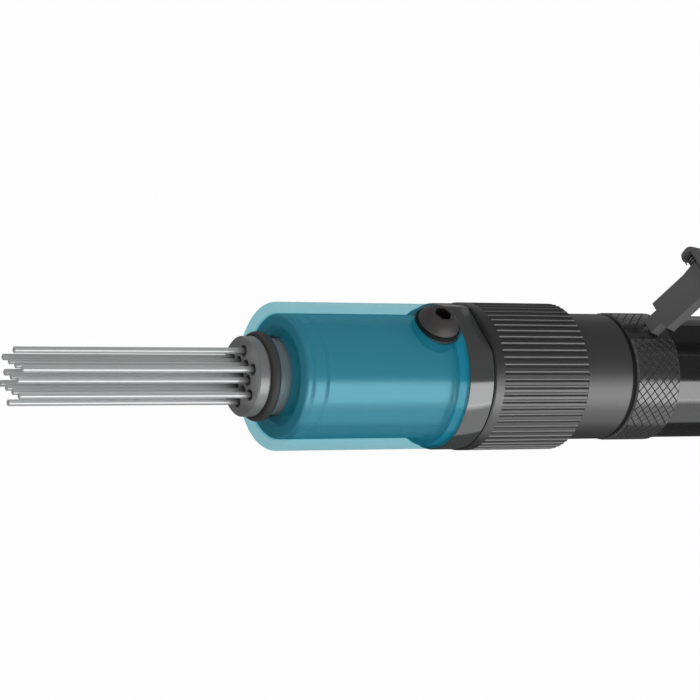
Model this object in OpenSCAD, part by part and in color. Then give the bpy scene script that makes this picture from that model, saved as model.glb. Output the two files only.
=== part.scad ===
// In-line pneumatic needle scaler with a see-through guard sleeve and a lock-off lever.
// X runs along the tool with the needles towards -X, and +Z is the lever side.
// The origin is the centre of the air inlet's mouth.

/* [Needles] */
// Diameter of one needle
needle_d = 2; // [1.8:0.1:2.3]
// Overall length of a needle, head included
needle_len = 180; // [130:1:200]
// Distance between neighbouring needles
needle_pitch = 4.7; // [4.5:0.05:5]
// Diameter of a needle's head
head_d = 3.4; // [3:0.1:3.8]
// Length of a needle's head
head_len = 3; // [2:0.5:4]

/* [Needle guide] */
// Diameter of the holes that the needles run in
guide_hole_d = 3.65; // [3:0.05:3.9]
// Wall of the guide's barrel
guide_wall = 1.7; // [1.4:0.1:2]
// How far the nose disc stands out from the barrel
nose_lip = 0.6; // [0.4:0.1:1]
// Thickness of the nose disc's rim
nose_disc_len = 4.2; // [3:0.1:5]
// Distance from the nose disc's face to the sleeve's front
nose_reach = 11; // [9.5:0.1:14]
// Thickness of the drilled end of the guide
guide_end = 6; // [5:0.5:9]
// Length of the guide's flange behind the land
guide_flange_len = 4; // [3:0.5:6]
// How far the rubber ring stands out from the barrel
ring_proud = 2.1; // [1.5:0.1:2.5]
// Width of the rubber ring
ring_len = 3; // [2:0.1:4]

/* [Front tube] */
// Wall of the front tube round its bore
tube_wall = 5.7; // [5.4:0.1:6]
// Step from the land up to the bore for the needle spring
bore_step = 2; // [1.6:0.1:2.4]
// Step from the bore up to the tube's open mouth
mouth_step = 0.8; // [0.3:0.1:1.5]
// Depth of the mouth
mouth_depth = 6.3; // [4:0.1:8]
// Length of the land that carries the guide's barrel
land_len = 12.5; // [8:0.5:16]
// Depth of the two grooves round the tube's front
groove_depth = 0.6; // [0.2:0.1:1]

/* [Guard sleeve] */
// Wall of the see-through sleeve
sleeve_wall = 3.6; // [3.4:0.1:3.8]
// Length of the sleeve
sleeve_len = 58.5; // [50:0.5:70]
// Rounding of the sleeve's front edge
sleeve_round = 2.8; // [0.5:0.1:3]
// How far the sleeve stands in front of the tube
sleeve_lead = 1.6; // [0.5:0.1:3]

/* [Sleeve band] */
// How far the band stands out from the sleeve
band_proud = 0.3; // [0.1:0.1:0.6]
// Length of the band
band_len = 9.5; // [7:0.5:12]
// Length of the spigot that the sleeve fits over
spigot_len = 3; // [2:0.1:5]
// Wall that the sleeve keeps over the spigot
sleeve_skirt = 1; // [0.8:0.1:1.4]
// Depth of the flat across the band
band_cut = 2.2; // [1.2:0.1:2.8]

/* [Sleeve screw] */
// Diameter of the screw's thread
screw_d = 8; // [6:0.5:8]
// Diameter of the screw's head
screw_head_d = 14; // [12:0.5:14]
// Height of the screw's head
screw_head_h = 4.4; // [3:0.1:5]
// Width across flats of the hexagon socket
socket_af = 5; // [4:0.5:6]
// Distance from the screw's axis to the band
screw_back = 7.7; // [7.7:0.1:14]
// Diameter of the bush that takes the screw's pull
bush_d = 15; // [13:0.5:15]
// Depth of the bush's top below the outside of the sleeve
bush_sink = 0.6; // [0.1:0.1:1.2]
// Thickness of the washer
washer_t = 1.2; // [0.8:0.1:2]

/* [Fluted collar] */
// Wall of the collar over the thread
collar_wall = 2.5; // [2.3:0.1:3]
// Length of the collar
collar_len = 36.6; // [34:0.2:44]
// Length of the plain lip in front of the flutes
lip_len = 3.5; // [2.5:0.1:5]
// Number of flutes
flute_count = 64; // [48:1:72]
// Width of one flute
flute_w = 1.5; // [1:0.1:1.7]
// Depth of the flutes
flute_depth = 0.55; // [0.3:0.05:0.7]

/* [Neck] */
// How far the thread stands out from the front tube
flange_step = 1.75; // [1.5:0.05:2]
// How far the thread stands out from the smooth neck
thread_step = 0.7; // [0.5:0.1:1]
// Length of neck that shows between collar and gap
neck_len = 19.3; // [12:0.1:26]
// Width of the gap with the black seal
gap_len = 1.7; // [1:0.1:3]
// Wall of the hub's rear spigot
spigot_wall = 2.9; // [2.5:0.1:3.3]
// Length of the hub's rear spigot
hub_spigot_len = 15; // [10:0.5:20]
// Thickness of the gasket behind the front tube
gasket_t = 0.8; // [0.5:0.1:1.5]
// Thickness of the front tube's rear flange
flange_len = 3.6; // [2.5:0.1:5]

/* [Striker] */
// Distance from the hub's front back to the needles' heads
striker_depth = 15.45; // [12:0.05:18]
// Thickness of the needle holder
holder_len = 5; // [4:0.5:7]
// Length of the anvil's head
anvil_head_len = 5; // [4:0.5:7]
// Diameter of the anvil's shank
shank_d = 14; // [12:0.5:15]
// Length of the bush that guides the anvil
anvil_bush_len = 15.5; // [12:0.5:18]
// Length of shank that reaches into the cylinder
anvil_reach = 4; // [3:0.5:6]
// Wire of the needle spring
needle_wire_d = 2.2; // [1.8:0.1:2.4]
// Turns of the needle spring
needle_turns = 12; // [9:1:14]

/* [Hammer] */
// Wall of the cylinder
cylinder_wall = 3.45; // [3:0.05:4]
// Bore of the cylinder
cylinder_bore_d = 19.1; // [18:0.1:20]
// Length of the cylinder
cylinder_len = 76; // [70:1:78]
// Length of the piston
piston_len = 30; // [24:1:34]
// Length of the valve seat
valve_seat_len = 6; // [5:0.5:8]
// Length of the valve cap
valve_cap_len = 10; // [8:0.5:11]
// Thickness of the valve plate
valve_plate_t = 1; // [0.8:0.1:1.4]
// Free travel of the valve plate
valve_travel = 0.8; // [0.5:0.1:1.2]

/* [Handle] */
// Wall of the handle round the hub's spigot
front_wall = 2.6; // [2.2:0.1:3]
// Depth of the step under the knurled ring
knurl_step = 1.9; // [1.5:0.1:2.1]
// Wall of the knurled ring
knurl_wall = 2.6; // [2.5:0.1:3]
// Length of the knurled ring
knurl_len = 17.2; // [14:0.2:20]
// Depth of the flat along the handle's top
flat_cut = 0.4; // [0.35:0.05:0.6]
// Distance between the hammer and the throttle valve's bush
valve_gap = 13.4; // [8:0.1:16]
// Width of the groove that collects the exhaust air
exhaust_groove_w = 6; // [5:0.5:8]
// Depth of the groove that collects the exhaust air
exhaust_groove_depth = 2.5; // [2:0.1:3]
// Width of the latch slot in the knurled ring
slot_w = 6.6; // [6.2:0.1:8]
// Depth of the pocket under the latch's toe
pocket_depth = 1.2; // [0.8:0.1:1.3]
// Length of the pocket under the latch's toe
pocket_len = 7; // [6.5:0.1:8]

/* [Lever] */
// Distance from the lever's pin to the handle's rear end
hinge_inset = 8; // [7:0.2:10]
// Height of the lever's pin above the handle's flat
hinge_clear = 6; // [5.8:0.1:8]
// Diameter of the lever's pin
lever_pin_d = 4; // [3.5:0.1:4.4]
// Angle of the lever at rest
lever_rise = 11; // [10.8:0.1:12]
// Length of the lever in front of the latch's pin
lever_nose = 4.4; // [3.6:0.1:9]
// Width of the lever
lever_w = 22; // [20:0.2:24]
// Depth of the lever's channel
lever_depth = 7; // [6.8:0.1:8]
// Thickness of the lever's sheet
lever_t = 1.6; // [1.2:0.1:1.8]
// Width of the lips turned in under the lever
lip_w = 4.6; // [3.8:0.1:5]
// Rounding of the lever's nose
nose_round = 2.8; // [1.5:0.1:3.2]
// Radius of the lever's ears
ear_r = 4.2; // [3.6:0.1:4.4]

/* [Latch] */
// Distance from the handle's front to the latch's pin
latch_inset = 19.1; // [17.7:0.1:20.7]
// Diameter of the latch's pin
latch_pin_d = 3; // [2.4:0.1:3.2]
// Gap between the latch and the lever's lips
latch_gap = 0.65; // [0.45:0.05:1.9]
// Thickness of the latch
latch_t = 4; // [3:0.1:4.4]
// Height of the latch's toe above the handle's flat
toe_gap = 1.5; // [1.3:0.1:2.2]
// Lean of the latch from the upright
latch_lean = 23.5; // [22:0.5:25]
// Gap on each side of the latch's toe in its slot
toe_side = 0.6; // [0.5:0.1:1]
// Length of the latch's toe
toe_len = 5.5; // [4:0.5:7]
// Wire of the latch spring
latch_wire_d = 0.7; // [0.6:0.05:0.75]
// Turns of the latch spring
latch_turns = 2.25; // [1.25:1:2.25]

/* [Throttle valve] */
// Distance from the lever's pin forward to the plunger
plunger_arm = 22; // [20:0.5:25]
// Diameter of the plunger
plunger_d = 5; // [4.4:0.1:5.4]
// Diameter of the plunger bush in the handle
valve_bush_d = 11; // [10.6:0.1:12]
// Diameter of the plunger bush's flange
valve_flange_d = 13; // [12.4:0.1:14]
// Height of the plunger bush's flange
valve_flange_h = 2.5; // [2:0.1:2.6]
// Height of the ball's seat above the axis
seat_h = 6; // [4:0.5:7]
// Diameter of the throttle ball
ball_d = 9; // [8:0.1:9.4]
// Depth of the valve chamber below the axis
chamber_depth = 13; // [12:0.5:14]
// Wire of the ball spring
ball_wire_d = 0.9; // [0.7:0.05:1]
// Turns of the ball spring
ball_turns = 5; // [4:1:6]

/* [Rear end] */
// Length of the rear cap
cap_len = 18; // [14:0.5:24]
// Length of the rear cap's spigot inside the handle
cap_spigot_len = 11; // [8:0.5:12]
// Wall of the handle round the rear cap's spigot
rear_wall = 8.5; // [7.9:0.1:9.4]
// Length of the inlet bushing's hexagon
hex_len = 7; // [5:0.5:12]
// Width across flats of the inlet bushing
hex_af = 19; // [17:0.5:22]
// Diameter of the inlet bushing's shank
shank_out_d = 15.8; // [15:0.1:17]
// Core diameter of the quarter inch pipe thread
inlet_d = 11.44; // [11.2:0.01:12]
// Depth of the inlet thread
inlet_depth = 12; // [10:0.5:14]
// Diameter of the air way behind the inlet thread
core_d = 8.4; // [7:0.1:9]
// Length of the air screen
screen_len = 9; // [7:0.5:11]
// Number of exhaust holes
exhaust_count = 8; // [6:1:12]
// Diameter of the exhaust holes
exhaust_d = 3.2; // [2.4:0.1:3.6]
// Distance from the exhaust holes' axes to the handle's outside
exhaust_inset = 3.6; // [3.3:0.05:3.9]
// Gap between the exhaust holes and the sides of the muffler's groove
muffler_side = 0.6; // [0.4:0.1:0.8]
// Depth of the muffler's groove in the rear cap
muffler_depth = 6; // [4:0.5:8]

/* [Clearances] */
// Radial gap of a seat that is assembled and stays
seat_gap = 0.05; // [0.03:0.01:0.08]
// Radial gap of a shaft that turns or slides
run_gap = 0.05; // [0.03:0.01:0.08]
// Gap between faces that move past each other
free_gap = 0.3; // [0.25:0.01:0.35]

/* [Hidden] */
$fn = 96;
steel = "#55575a";
dark_steel = "#3a3b3d";
bright_steel = "#b9bcc0";
black_rubber = "#1c1c1d";
gloss_black = "#161718";

// Radii, from the needles outward
star_r = needle_pitch * sqrt(3);
hole_edge_r = star_r + guide_hole_d / 2;
guide_bore_r = hole_edge_r + free_gap;
barrel_r = guide_bore_r + guide_wall;
nose_r = barrel_r + nose_lip;
ring_r = barrel_r + ring_proud;
bore_r = barrel_r + bore_step;
shoulder_r = bore_r - free_gap;
mouth_r = bore_r + mouth_step;
tube_r = bore_r + tube_wall;
sleeve_bore_r = tube_r + 4 * seat_gap;
sleeve_r = tube_r + sleeve_wall;
spigot_r = sleeve_r - sleeve_skirt - 2 * seat_gap;
band_r = sleeve_r + band_proud;
band_flat = band_r - band_cut;
bush_top = sleeve_r - bush_sink;
thread_r = tube_r + flange_step;
neck_r = thread_r - thread_step;
collar_r = thread_r + collar_wall;

// Radii, from the hammer outward
cylinder_r = cylinder_bore_d / 2 + cylinder_wall;
hub_spigot_r = cylinder_r + spigot_wall;
knurl_seat_r = hub_spigot_r + front_wall;
knurl_r = knurl_seat_r + knurl_wall;
handle_r = knurl_seat_r + knurl_step;
handle_flat = handle_r - flat_cut;
hinge_h = handle_flat + hinge_clear;
cap_spigot_r = handle_r - rear_wall;
exhaust_r = handle_r - exhaust_inset;
groove_in = exhaust_r - exhaust_d / 2 - muffler_side;
groove_out = exhaust_r + exhaust_d / 2 + muffler_side;
valve_bush_r = valve_bush_d / 2;
core_r = core_d / 2;

// Stations of the valve and the hammer along X, from the air inlet forward
x_cap_rear = -hex_len;
x_handle_rear = x_cap_rear - cap_len;
x_hinge = x_handle_rear - hinge_inset;
x_plunger = x_hinge - plunger_arm;
x_hammer_rear = x_plunger - valve_bush_r - valve_gap;
x_valve_cap = x_hammer_rear - valve_cap_len;
x_cylinder_rear = x_valve_cap - valve_seat_len;
x_cylinder_front = x_cylinder_rear - cylinder_len;
x_anvil_rear = x_cylinder_front + anvil_reach;
x_piston_front = x_anvil_rear + free_gap;
x_anvil_bush = x_cylinder_front - anvil_bush_len;
x_anvil_head_rear = x_anvil_bush - free_gap;
x_anvil_front = x_anvil_head_rear - anvil_head_len;
x_needle_rear = x_anvil_front - free_gap;
x_holder_rear = x_needle_rear - head_len;
x_holder_front = x_holder_rear - holder_len;
x_tips = x_needle_rear - needle_len;

// Stations of the housing along X
x_hub_front = x_needle_rear - striker_depth;
x_tube_rear = x_hub_front - gasket_t;
x_flange = x_tube_rear - flange_len;
x_collar_front = x_flange - run_gap - lip_len;
x_collar_rear = x_collar_front + collar_len;
x_neck_rear = x_collar_rear + neck_len;
x_handle_front = x_neck_rear + gap_len;
x_knurl_rear = x_handle_front + knurl_len;
x_exhaust = x_cylinder_front + 0.55 * cylinder_len;
x_band_front = x_collar_front - band_len;
x_spigot_front = x_band_front - spigot_len;
x_screw = x_band_front - screw_back;
x_sleeve_front = x_band_front - sleeve_len;
x_tube_front = x_sleeve_front + sleeve_lead;
x_nose = x_sleeve_front - nose_reach;
x_ring_front = x_nose + nose_disc_len;
x_ring_rear = x_ring_front + ring_len;
x_land_front = x_tube_front + mouth_depth;
x_land_rear = x_land_front + land_len;
x_guide_rear = x_land_rear + guide_flange_len;

// Lever and latch
lug_sink = 1.6;
bend_r = 0.9;
lever_bottom = -lever_depth / 2 + 0.9;
lever_top = lever_bottom + lever_depth;
knuckle_r = lever_top - lever_t - free_gap;
cheek_in = lever_w / 2 - lever_t;
lip_edge = lever_w / 2 - lip_w;
spring_r = latch_pin_d / 2 + latch_wire_d / 2 + 0.15;
latch_side = lip_edge - latch_gap;
latch_x = x_handle_front + latch_inset;
latch_arm = (x_hinge - latch_x) / cos(lever_rise);
latch_z = hinge_h + latch_arm * sin(lever_rise);
latch_drop = latch_z - handle_flat - toe_gap - latch_t / 2 * sin(latch_lean);
latch_len = latch_drop / cos(latch_lean);
lever_len = latch_arm + lever_nose;
toe_w = slot_w - 2 * toe_side;

// Throttle valve
ball_r = ball_d / 2;
plunger_r = plunger_d / 2;
seat_r = ball_r * 0.78;
ball_h = seat_h - sqrt(ball_r * ball_r - seat_r * seat_r) - free_gap / 2;
web_h = hinge_h + plunger_arm * tan(lever_rise) + (lever_top - lever_t) / cos(lever_rise);
plunger_dome_h = web_h - (plunger_r + free_gap) / cos(lever_rise);
plunger_foot = ball_h + ball_r + free_gap;
air_way_r = 2;
air_way_h = seat_h + 2 * air_way_r;

// Needle places: one in the middle, six round it and six in the gaps further out
needle_ring = [for (i = [0:5]) needle_pitch * [cos(60 * i + 90), sin(60 * i + 90)]];
needle_star = [for (i = [0:5]) star_r * [cos(60 * i + 60), sin(60 * i + 60)]];
needle_places = concat([[0, 0]], needle_ring, needle_star);

// A solid turned about the X axis from points of station and radius
module turned(profile) {
    rotate([0, 90, 0])
        rotate_extrude()
            polygon([for (p = profile) [p[1], p[0]]]);
}

// A round bar along X between two stations
module bar(x0, x1, r) {
    translate([x0, 0, 0])
        rotate([0, 90, 0])
            cylinder(h = x1 - x0, r = r);
}

// A tube along X between two stations
module pipe(x0, x1, r_out, r_in) {
    difference() {
        bar(x0, x1, r_out);
        bar(x0 - 1, x1 + 1, r_in);
    }
}

// A round bar across the tool, centred on Y = 0
module cross_bar(x, z, r, y0, y1) {
    translate([x, y0, z])
        rotate([-90, 0, 0])
            cylinder(h = y1 - y0, r = r);
}

// Points along an arc about a centre, as station and radius
function arc(c, r, a0, a1, n = 8) =
    [for (i = [0:n]) let (a = a0 + (a1 - a0) * i / n) c + r * [cos(a), sin(a)]];

// A rectangle with rounded corners, from corner to corner
module rounded_plate(x0, y0, x1, y1, r) {
    translate([x0 + r, y0])
        square([x1 - x0 - 2 * r, y1 - y0]);
    translate([x0, y0 + r])
        square([x1 - x0, y1 - y0 - 2 * r]);
    for (x = [x0 + r, x1 - r])
        for (y = [y0 + r, y1 - r])
            translate([x, y])
                circle(r = r, $fn = 32);
}

function unit(v) = v / norm(v);
function tangent(path, i) =
    unit(path[min(i + 1, len(path) - 1)] - path[max(i - 1, 0)]);

// One unbroken six-sided wire along a path that winds about an axis
module wire(path, r, axis) {
    n = len(path) - 1;
    points = [
        for (i = [0:n])
            let (t = tangent(path, i), a = unit(cross(axis, t)), b = cross(t, a))
                for (k = [0:5]) path[i] + r * (cos(60 * k) * a + sin(60 * k) * b)
    ];
    sides = [
        for (i = [0:n - 1])
            for (k = [0:5])
                let (a = 6 * i + k, b = 6 * i + (k + 1) % 6)
                    each [[a, b + 6, b], [a, a + 6, b + 6]]
    ];
    first_end = [for (k = [1:4]) [0, k, k + 1]];
    last_end = [for (k = [1:4]) [6 * n, 6 * n + k + 1, 6 * n + k]];
    polyhedron(points, concat(sides, first_end, last_end));
}

// Centre line of a coil about Z with eight points a turn
function coil_path(length, turns, r, turn_from = 0) =
    [for (i = [0:turns * 8])
        [r * cos(turn_from + 45 * i), r * sin(turn_from + 45 * i), length * i / (turns * 8)]];

// Least gap between neighbouring turns, measured on the points of a coil
function coil_gap(path, r) =
    min([for (i = [0:len(path) - 8], j = [i + 6:min(i + 10, len(path) - 1)])
        norm(path[j] - path[i])]) - 2 * r;

module on_lever() {
    translate([x_hinge, 0, hinge_h])
        rotate([0, lever_rise, 0])
            children();
}

module needles() {
    color(bright_steel)
        for (p = needle_places)
            translate([0, p[0], p[1]]) {
                turned([
                    [x_tips, 0],
                    [x_tips, needle_d / 2 - 0.2],
                    [x_tips + 0.2, needle_d / 2],
                    [x_holder_rear, needle_d / 2],
                    [x_holder_rear, head_d / 2],
                    [x_needle_rear, head_d / 2],
                    [x_needle_rear, 0]
                ], $fn = 24);
            }
}

module needle_holes(x0, x1, d) {
    for (p = needle_places)
        translate([0, p[0], p[1]])
            bar(x0, x1, d / 2, $fn = 24);
}

module needle_guide() {
    ring_seat_r = barrel_r - 1;
    color(steel)
        difference() {
            turned([
                [x_nose, 0],
                [x_nose, nose_r - 0.4],
                [x_nose + 0.4, nose_r],
                [x_ring_front - 0.8, nose_r],
                [x_ring_front - 0.8, nose_r - 0.7],
                [x_ring_front, nose_r - 0.7],
                [x_ring_front, ring_seat_r],
                [x_ring_rear, ring_seat_r],
                [x_ring_rear, barrel_r],
                [x_land_rear + seat_gap, barrel_r],
                [x_land_rear + seat_gap, shoulder_r],
                [x_guide_rear, shoulder_r],
                [x_guide_rear, guide_bore_r],
                [x_nose + guide_end, guide_bore_r],
                [x_nose + guide_end, 0]
            ]);
            needle_holes(x_nose - 1, x_nose + guide_end + 1, guide_hole_d);
        }
}

module nose_ring() {
    round_r = ring_len * 0.4;
    color(black_rubber)
        turned(concat(
            [[x_ring_front + seat_gap, barrel_r - 1 + seat_gap]],
            arc([x_ring_front + seat_gap + round_r, ring_r - round_r], round_r, 180, 90),
            arc([x_ring_rear - seat_gap - round_r, ring_r - round_r], round_r, 90, 0),
            [[x_ring_rear - seat_gap, barrel_r - 1 + seat_gap]]
        ));
}

// Radial screw hole or bush hole over the sleeve screw
module at_screw(z0, z1, r) {
    translate([x_screw, 0, z0])
        cylinder(h = z1 - z0, r = r);
}

bush_foot = sqrt(tube_r * tube_r - bush_d * bush_d / 4) - 0.3;
screw_end = bore_r + 1;

module front_tube() {
    groove_w = 0.8;
    ring_gap = 5;
    first = x_tube_front + 2.3;
    color(dark_steel)
        difference() {
            turned(concat(
                [[x_tube_front, mouth_r + 1]],
                arc([x_tube_front + 0.8, tube_r - 0.8], 0.8, 180, 90, 4),
                [for (x = [first, first + ring_gap]) each [
                    [x - groove_w, tube_r],
                    [x, tube_r - groove_depth],
                    [x + groove_w, tube_r]
                ]],
                [
                    [x_flange, tube_r],
                    [x_flange, thread_r - 0.2],
                    [x_tube_rear, thread_r - 0.2],
                    [x_tube_rear, bore_r],
                    [x_land_rear, bore_r],
                    [x_land_rear, barrel_r + seat_gap],
                    [x_land_front, barrel_r + seat_gap],
                    [x_land_front, mouth_r],
                    [x_tube_front + 1, mouth_r]
                ]
            ));
            at_screw(bush_foot, 2 * sleeve_r, bush_d / 2 + seat_gap * 2);
            at_screw(screw_end, 2 * sleeve_r, screw_d / 2 + seat_gap);
        }
}

module guard_sleeve() {
    color("#3f9fb5", 0.5)
        difference() {
            turned(concat(
                [[x_sleeve_front, sleeve_bore_r]],
                arc([x_sleeve_front + sleeve_round, sleeve_r - sleeve_round], sleeve_round, 180, 90),
                [
                    [x_band_front, sleeve_r],
                    [x_band_front, sleeve_r - sleeve_skirt],
                    [x_spigot_front, sleeve_r - sleeve_skirt],
                    [x_spigot_front, sleeve_bore_r]
                ]
            ));
            at_screw(0, 2 * sleeve_r, bush_d / 2 + seat_gap * 2);
        }
}

module tube_band() {
    color(steel)
        difference() {
            turned([
                [x_spigot_front, tube_r + seat_gap],
                [x_spigot_front, spigot_r],
                [x_band_front, spigot_r],
                [x_band_front, band_r - 0.2],
                [x_band_front + 0.2, band_r],
                [x_collar_front - 0.5, band_r],
                [x_collar_front - free_gap, band_r - 0.2],
                [x_collar_front - free_gap, tube_r + seat_gap]
            ]);
            translate([x_band_front, -band_r, band_flat])
                cube([band_len + 1, 2 * band_r, band_r]);
            at_screw(bush_foot - 1, 2 * sleeve_r, bush_d / 2 + seat_gap * 2);
        }
}

module sleeve_screw() {
    head_base = bush_top + washer_t;
    head_r = screw_head_d / 2;
    dome_r = (head_r * head_r + screw_head_h * screw_head_h) / (2 * screw_head_h);
    dome_from = asin((head_r - 0.1) / dome_r);
    color(dark_steel)
        translate([x_screw, 0, 0])
            difference() {
                rotate_extrude()
                    polygon(concat(
                        [[0, screw_end + 0.6], [screw_d / 2 - 0.6, screw_end + 0.6]],
                        [[screw_d / 2, screw_end + 1.2], [screw_d / 2, head_base]],
                        [[head_r - 0.1, head_base]],
                        [for (i = [0:8])
                            let (a = dome_from * (8 - i) / 8 + 14 * i / 8)
                                [dome_r * sin(a), head_base + screw_head_h - dome_r * (1 - cos(a))]],
                        [[0, head_base + screw_head_h - dome_r * (1 - cos(14))]]
                    ));
                translate([0, 0, head_base + screw_head_h - 2.6])
                    cylinder(h = 4, d = socket_af / cos(30), $fn = 6);
            }
}

module screw_washer() {
    color(bright_steel)
        difference() {
            at_screw(bush_top, bush_top + washer_t, bush_d / 2 - seat_gap * 4);
            at_screw(bush_top - 1, bush_top + washer_t + 1, screw_d / 2 + 0.2);
        }
}

module screw_bush() {
    color(dark_steel)
        difference() {
            at_screw(bush_foot, bush_top, bush_d / 2);
            at_screw(bush_foot - 1, bush_top + 1, screw_d / 2 + 0.2);
        }
}

module needle_spring() {
    wire_r = needle_wire_d / 2;
    spring_len = x_holder_front - x_guide_rear - 2 * wire_r - 0.2;
    path = coil_path(spring_len, needle_turns, bore_r - wire_r - 0.9);
    echo(str("Least gap of the needle spring: ", coil_gap(path, wire_r), " mm"));
    color(bright_steel)
        translate([x_guide_rear + wire_r + 0.1, 0, 0])
            rotate([0, 90, 0])
                wire(path, wire_r, [0, 0, 1]);
}

module needle_holder() {
    color(steel)
        difference() {
            turned([
                [x_holder_front, 0],
                [x_holder_front, bore_r - free_gap - 0.5],
                [x_holder_front + 0.5, bore_r - free_gap],
                [x_holder_rear, bore_r - free_gap],
                [x_holder_rear, 0]
            ]);
            needle_holes(x_holder_front - 1, x_holder_rear + 1, needle_d + 0.2);
        }
}

module anvil() {
    color(steel)
        turned([
            [x_anvil_front, 0],
            [x_anvil_front, bore_r - free_gap - 0.5],
            [x_anvil_front + 0.5, bore_r - free_gap],
            [x_anvil_head_rear, bore_r - free_gap],
            [x_anvil_head_rear, shank_d / 2],
            [x_anvil_rear - 0.8, shank_d / 2],
            [x_anvil_rear, shank_d / 2 - 0.8],
            [x_anvil_rear, 0]
        ]);
}

module anvil_bush() {
    color("#8a6d3b")
        pipe(x_anvil_bush, x_cylinder_front, bore_r - seat_gap, shank_d / 2 + run_gap);
}

module fluted_collar() {
    flute_r = flute_w * flute_w / (8 * flute_depth) + flute_depth / 2;
    color(steel)
        difference() {
            turned([
                [x_collar_front, tube_r + free_gap],
                [x_collar_front, collar_r - 0.4],
                [x_collar_front + 0.4, collar_r],
                [x_collar_rear - 0.8, collar_r],
                [x_collar_rear, collar_r - 0.8],
                [x_collar_rear, thread_r + free_gap],
                [x_collar_front + lip_len, thread_r + free_gap],
                [x_collar_front + lip_len, tube_r + free_gap]
            ]);
            for (i = [0:flute_count - 1])
                rotate([360 * (i + 0.5) / flute_count, 0, 0])
                    translate([0, 0, collar_r - flute_depth + flute_r])
                        bar(x_collar_front + lip_len, x_collar_rear + 1, flute_r, $fn = 24);
        }
}

module flange_seal() {
    color(black_rubber)
        pipe(x_tube_rear, x_hub_front, thread_r - 0.6, bore_r + 0.4);
}

module neck_hub() {
    color(steel)
        turned([
            [x_hub_front, bore_r],
            [x_hub_front, thread_r - 0.8],
            [x_hub_front + 0.8, thread_r],
            [x_collar_rear - 2, thread_r],
            [x_collar_rear - 2 + thread_step, neck_r],
            [x_neck_rear - 0.3, neck_r],
            [x_neck_rear, neck_r - 0.3],
            [x_neck_rear, hub_spigot_r],
            [x_handle_front + hub_spigot_len, hub_spigot_r],
            [x_handle_front + hub_spigot_len, cylinder_r + seat_gap],
            [x_cylinder_front, cylinder_r + seat_gap],
            [x_cylinder_front, bore_r]
        ]);
}

module neck_seal() {
    color(black_rubber)
        pipe(x_neck_rear, x_handle_front, neck_r - 0.7, hub_spigot_r + seat_gap);
}

// The milled flat and the latch slot share one floor
module latch_slot() {
    translate([x_handle_front - 1, -slot_w / 2, handle_flat])
        cube([knurl_len + 1, slot_w, knurl_r]);
}

module knurled_ring() {
    color(dark_steel)
        difference() {
            turned([
                [x_handle_front, knurl_seat_r + seat_gap],
                [x_handle_front, knurl_r - 0.6],
                [x_handle_front + 0.6, knurl_r],
                [x_knurl_rear - 0.6, knurl_r],
                [x_knurl_rear, knurl_r - 0.6],
                [x_knurl_rear, knurl_seat_r + seat_gap]
            ]);
            latch_slot();
            toe_pocket();
        }
}

// Pocket that the toe dips into as the lever goes down
module toe_pocket() {
    toe_x = latch_x - latch_len * sin(latch_lean);
    translate([toe_x - pocket_len, 0, handle_flat - pocket_depth])
        for (x = [0, pocket_len])
            translate([x, 0, 0])
                cylinder(h = knurl_r, d = slot_w);
    translate([toe_x - pocket_len, -slot_w / 2, handle_flat - pocket_depth])
        cube([pocket_len, slot_w, knurl_r]);
}

module cylinder_sleeve() {
    color(steel)
        difference() {
            pipe(x_cylinder_front, x_cylinder_rear, cylinder_r, cylinder_bore_d / 2);
            for (a = [0:90:270])
                rotate([a + 45, 0, 0])
                    translate([x_exhaust, 0, 0])
                        cylinder(h = 2 * cylinder_r, r = 1.6, $fn = 24);
        }
}

module piston() {
    piston_r = cylinder_bore_d / 2 - run_gap;
    color(bright_steel)
        turned([
            [x_piston_front, 0],
            [x_piston_front, piston_r - 1],
            [x_piston_front + 1, piston_r],
            [x_piston_front + piston_len - 1, piston_r],
            [x_piston_front + piston_len, piston_r - 1],
            [x_piston_front + piston_len, 0]
        ]);
}

module valve_seat() {
    color(steel)
        difference() {
            bar(x_cylinder_rear, x_valve_cap, cylinder_r);
            for (a = [0:60:300])
                rotate([a, 0, 0])
                    translate([0, 0, 5])
                        bar(x_cylinder_rear - 1, x_valve_cap + 1, 1.4, $fn = 24);
        }
}

module valve_plate() {
    color(bright_steel)
        pipe(x_valve_cap + 0.1, x_valve_cap + 0.1 + valve_plate_t, 8, 2);
}

module valve_cap() {
    chamber = 0.1 + valve_plate_t + valve_travel + 0.1;
    color(steel)
        difference() {
            bar(x_valve_cap, x_hammer_rear, cylinder_r);
            bar(x_valve_cap - 1, x_valve_cap + chamber, 8 + free_gap);
            for (a = [0:60:300])
                rotate([a, 0, 0])
                    translate([0, 0, 5])
                        bar(x_valve_cap, x_hammer_rear + 1, 1.4, $fn = 24);
        }
}

// The lug that carries the lever's pin
module hinge_lug(half_w) {
    lug_base = handle_r / 2;
    intersection() {
        union() {
            cross_bar(x_hinge, hinge_h, ear_r, -half_w, half_w);
            translate([x_hinge - ear_r, -half_w, lug_base])
                cube([2 * ear_r, 2 * half_w, hinge_h - lug_base]);
        }
        bar(x_hinge - 2 * ear_r, x_hinge + 2 * ear_r, hinge_h + ear_r + 1);
    }
}

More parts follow.
